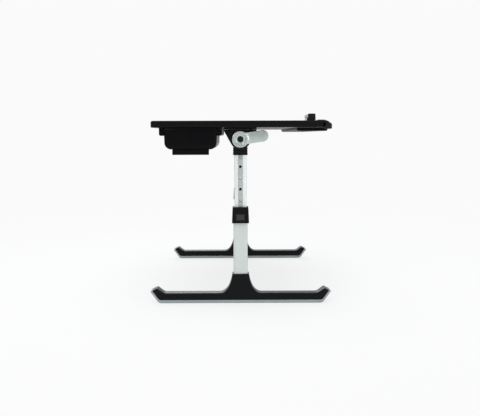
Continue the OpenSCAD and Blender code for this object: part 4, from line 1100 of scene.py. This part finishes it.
def lever_outline(hub, tip, reach, fillet, steps=22):
    """Disc and strip in one closed outline round (0, 0), the strip along +a, anticlockwise.

    The fillet circle touches the disc and the strip's side: its centre is
    at b = tip + fillet and a = sqrt((hub + fillet)^2 - (tip + fillet)^2).
    """
    b = tip + fillet
    a = math.sqrt((hub + fillet) ** 2 - b ** 2)
    touch = math.atan2(b, a)
    disc_turn = np.linspace(touch, 2 * np.pi - touch, 3 * steps)
    tip_turn = np.linspace(-np.pi / 2, np.pi / 2, steps)
    fillet_turn = np.linspace(np.pi + touch, 1.5 * np.pi, 7)
    upper = np.column_stack([a + fillet * np.cos(fillet_turn), b + fillet * np.sin(fillet_turn)])
    return resample(np.concatenate([
        np.column_stack([hub * np.cos(disc_turn), hub * np.sin(disc_turn)]),
        (upper * [1, -1])[1:],
        np.column_stack([reach + tip * np.cos(tip_turn), tip * np.sin(tip_turn)]),
        upper[::-1][:-1]]), 2.0)


def face_depth(points):
    """Depth of the face outside the raised ring.

    Round the hub it is 0.1. From 12.6 to 15.5 mm from the hub's centre it
    passes over to the arm's crowned face, 0.45 + 0.55 (b / tip)^2 for a
    point b to the side of the arm's middle line.
    """
    share = np.clip((np.linalg.norm(points, axis=1) - 12.6) / 2.9, 0, 1)
    share = share * share * (3 - 2 * share)
    arm = 0.45 + 0.55 * (points[:, 1] / LEVER["tip"]) ** 2
    return 0.1 * (1 - share) + arm * share


def lever(name, node):
    """Rings round the hub: circles of growing radius, then steps towards the outline, rim and back.

    The steps go from the circle of radius FACE_START to the outline moved in
    by ARM_RIM, by equal shares of the way for all points of a ring. The rim
    moves out by sin t and falls by 1 - cos t, both times ARM_RIM, for t from
    0 to 90 degrees. A last ring round the bolt's hole closes the back.
    """
    x0, x1 = span(node)[:, 0]
    outline = lever_outline(**LEVER)
    turn = math.radians(180 - LEVER_ANGLE)
    spin = np.array([[math.cos(turn), -math.sin(turn)], [math.sin(turn), math.cos(turn)]])
    away = outline / np.linalg.norm(outline, axis=1, keepdims=True)
    move = inward(outline)
    rings = [away * r for r, _ in HUB_RINGS]
    depth = [np.full(len(outline), d) for _, d in HUB_RINGS]
    start, end = away * FACE_START, outline + move * ARM_RIM
    for share in (0.0, 0.12, 0.26, 0.42, 0.6, 0.8):
        rings.append(start + (end - start) * share)
        depth.append(face_depth(rings[-1]))
    for inset, fall in zip(*quarter(ARM_RIM, 6)):
        rings.append(outline + move * inset)
        depth.append(face_depth(rings[-1]) + fall)
    past_hub = np.linalg.norm(outline, axis=1) - LEVER["hub"]
    back = HUB_BACK - ARM_THINNER * np.clip(past_hub / 3, 0, 1)
    for inset, rise in ((0.0, 1.0), (0.3, 0.3), (1.0, 0.0)):
        rings.append(outline + move * inset)
        depth.append(back - rise)
    rings.append(away * HOLE_R)
    depth.append(back)
    flat, level = np.stack(rings) @ spin.T + [0.0, AXIS_Z], np.stack(depth)
    points = place(flat, x0 + level if x0 < 0 else x1 - level, "x")
    rows, columns = level.shape
    return smooth(mesh_object(name, points * MM, grid_faces(rows, columns, True, True)), 42)


for side in ("left", "right"):
    dress(lever(side + "_lever", side + "_clamp_lever"), side + "_clamp_lever")

# %% [markdown]
# ## The feet
#
# A foot is a long moulding with a flared boss round the tube and two toes
# that turn up. Its top edges are rounded by about three millimetres, and its
# lower edge meets the grey sole sharply. The rim's radius is therefore a
# weight along the outline: one on top, less round the boss and the toes,
# nearly nothing where the sole begins. The sole is a strip swept along the
# same outline. The tube stands in a socket of the boss, which is cut out of
# the finished moulding, because a solid boss would run into the inner tube
# when the leg is at its shortest.

# %% Foot and sole
FOOT_RIM, SOLE_RIM = 3.3, 1.3
SOLE_UNDER, SOLE_TIP = 5.5, 3.8  # the sole's thickness below the foot and at the toes' tips
BAR_TOP, TOE_TOP, BOSS_TOP = 17.3, 26.0, 51.2
SOLE_POINTS = 19  # middle, 9 points of the bend, 9 points of the tip
THIN = 0.05  # a rim weight above zero, because quads without area shade badly
SEAT = 0.05  # play of the tube in its socket


def foot_curve(drop, inset, bend):
    """Half of the foot's side in (Y, Z), from the middle of its bottom round the toe and up the boss.

    drop and inset are left off below and at the toe's tip, where the sole is,
    and bend is the radius between bottom and toe. The boss flares along the
    Bezier curve of the four points p.
    """
    toe, top, tube = math.radians(54), math.radians(35.5), 14.6
    tip, corner = np.array([157.5, 20.5]), np.array([157.5 - 11.6, TOE_TOP])
    run = (corner - tip) / np.linalg.norm(corner - tip)
    lean = run @ np.array([-math.sin(toe), math.cos(toe)])
    high = tip + run * inset / lean
    low = np.array([high[0] - (high[1] - drop) / math.tan(toe), drop])
    rise = np.array([corner[0] - (TOE_TOP - BAR_TOP) / math.tan(top), BAR_TOP])
    t = np.linspace(0, 1, 15)[1:, None]
    p = np.array([[37, BAR_TOP], [22, BAR_TOP], [16.6, 36.7], [tube, 49.7]])
    flare = p[0] * (1 - t) ** 3 + p[1] * 3 * t * (1 - t) ** 2 + p[2] * 3 * t * t * (1 - t) + p[3] * t ** 3
    corners = [(0, drop, 0), (*low, bend), (*high, 0.8), (*corner, 1.6), (*rise, 12), (37, BAR_TOP, 0)]
    return fillet_corners(corners + sharp([*flare, (tube - 1, BOSS_TOP), (0, BOSS_TOP)]), 8)


def foot(name, node):
    """The foot's closed outline with a rim whose radius changes along it.

    The weight of the rim is 1 on the bar's top. It falls to 0.7 up the boss
    and 0.3 at its upper edge, to 0.4 towards the toes, and to THIN wherever
    the outline borders on the sole.
    """
    x0, x1 = span(node)[:, 0]
    half = foot_curve(SOLE_UNDER, SOLE_TIP, 7)
    ring = resample(np.concatenate([half, (half * [-1, 1])[::-1][1:-1]]), 4.0)
    side, height = np.abs(ring[:, 0]), ring[:, 1]
    weight = np.clip((height - 16.2) / 1.0, 0, 1)
    boss = (side < 40) & (height > 17.5)
    weight = np.where(boss, 1 - 0.3 * np.clip((height - 18) / 20, 0, 1), weight)
    weight = np.where(boss & (height > 45), 0.7 - 0.4 * (height - 45) / 6.2, weight)
    weight = np.where(side > 130, weight * (1 - 0.6 * np.clip((side - 134) / 8, 0, 1)), weight)
    toe_face = (side > 146.6) & (height < 25.2)
    weight = np.where(toe_face, np.clip((height - 21.0) / 3.5, 0, 1) * 0.4, weight)
    return rimmed(name, ring, "x", x0, x1, FOOT_RIM, weight=np.maximum(weight, THIN), steps=7)


def both_ways(half):
    """A half curve and its mirror image as one open curve."""
    return np.concatenate([(half * [-1, 1])[:0:-1], half])


def sole(name, node):
    """A strip swept along the foot's bottom and round its toes.

    Both outlines have the same number of points, so each pair of them is one
    station. At a station the section runs from the inner outline to the outer
    one, round a quarter circle, across the foot and back in the same way.
    """
    x0, x1 = span(node)[:, 0]
    outer = both_ways(foot_curve(0, 0, 9)[:SOLE_POINTS])
    inner = both_ways(foot_curve(SOLE_UNDER, SOLE_TIP, 7)[:SOLE_POINTS])
    deep = np.linalg.norm(inner - outer, axis=1, keepdims=True)
    down = (inner - outer) / deep
    inset, rise = quarter(SOLE_RIM, 5)
    across = np.concatenate([[x0, x0], x0 + rise, x1 - rise[::-1], [x1, x1]])
    corner = np.broadcast_to(np.concatenate([inset, inset[::-1]]), (len(deep), 2 * len(inset)))
    hold = np.full_like(deep, SOLE_RIM + HOLD)
    level = np.concatenate([deep, hold, corner, hold, deep], axis=1)
    flat = outer[:, None] + level[..., None] * down[:, None]
    points = place(flat, np.broadcast_to(across, level.shape), "x")
    return smooth(mesh_object(name, points * MM, capped_faces(*level.shape)))


def socket_cut(obj, tube):
    """Cuts the foot's socket: the outer tube's plan, SEAT larger all round, from the tube's bottom up."""
    (x0, y0, z0), (x1, y1, _) = span(tube)
    x0, y0, x1, y1 = x0 - SEAT, y0 - SEAT, x1 + SEAT, y1 + SEAT
    plan = fillet_corners([(x1, y0, 3), (x1, y1, 3), (x0, y1, 3), (x0, y0, 3)], 6)
    cutter = rimmed("cutter", plan, "z", z0, z0 + 80, 0.02)
    cut = obj.modifiers.new("socket", "BOOLEAN")
    cut.operation, cut.solver, cut.object = "DIFFERENCE", "EXACT", cutter
    seen = obj.evaluated_get(bpy.context.evaluated_depsgraph_get())
    obj.data = bpy.data.meshes.new_from_object(seen)
    obj.modifiers.clear()
    bpy.data.objects.remove(cutter)
    return smooth(obj)


for side in ("left", "right"):
    moulding = socket_cut(foot(side + "_foot_moulding", side + "_foot"), side + "_outer_tube")
    dress(moulding, side + "_foot")
    dress(sole(side + "_sole", side + "_foot_sole"), side + "_foot_sole")

# %% [markdown]
# ## Finish
#
# The last cell writes the box of the CAD and of the dressed stand to a file.

# %% Sizes
json.dump({"cad": cad_box, "visual": [list(map(float, corner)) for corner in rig.bounds()]},
          open("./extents.json", "w"))
print(open("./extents.json").read())
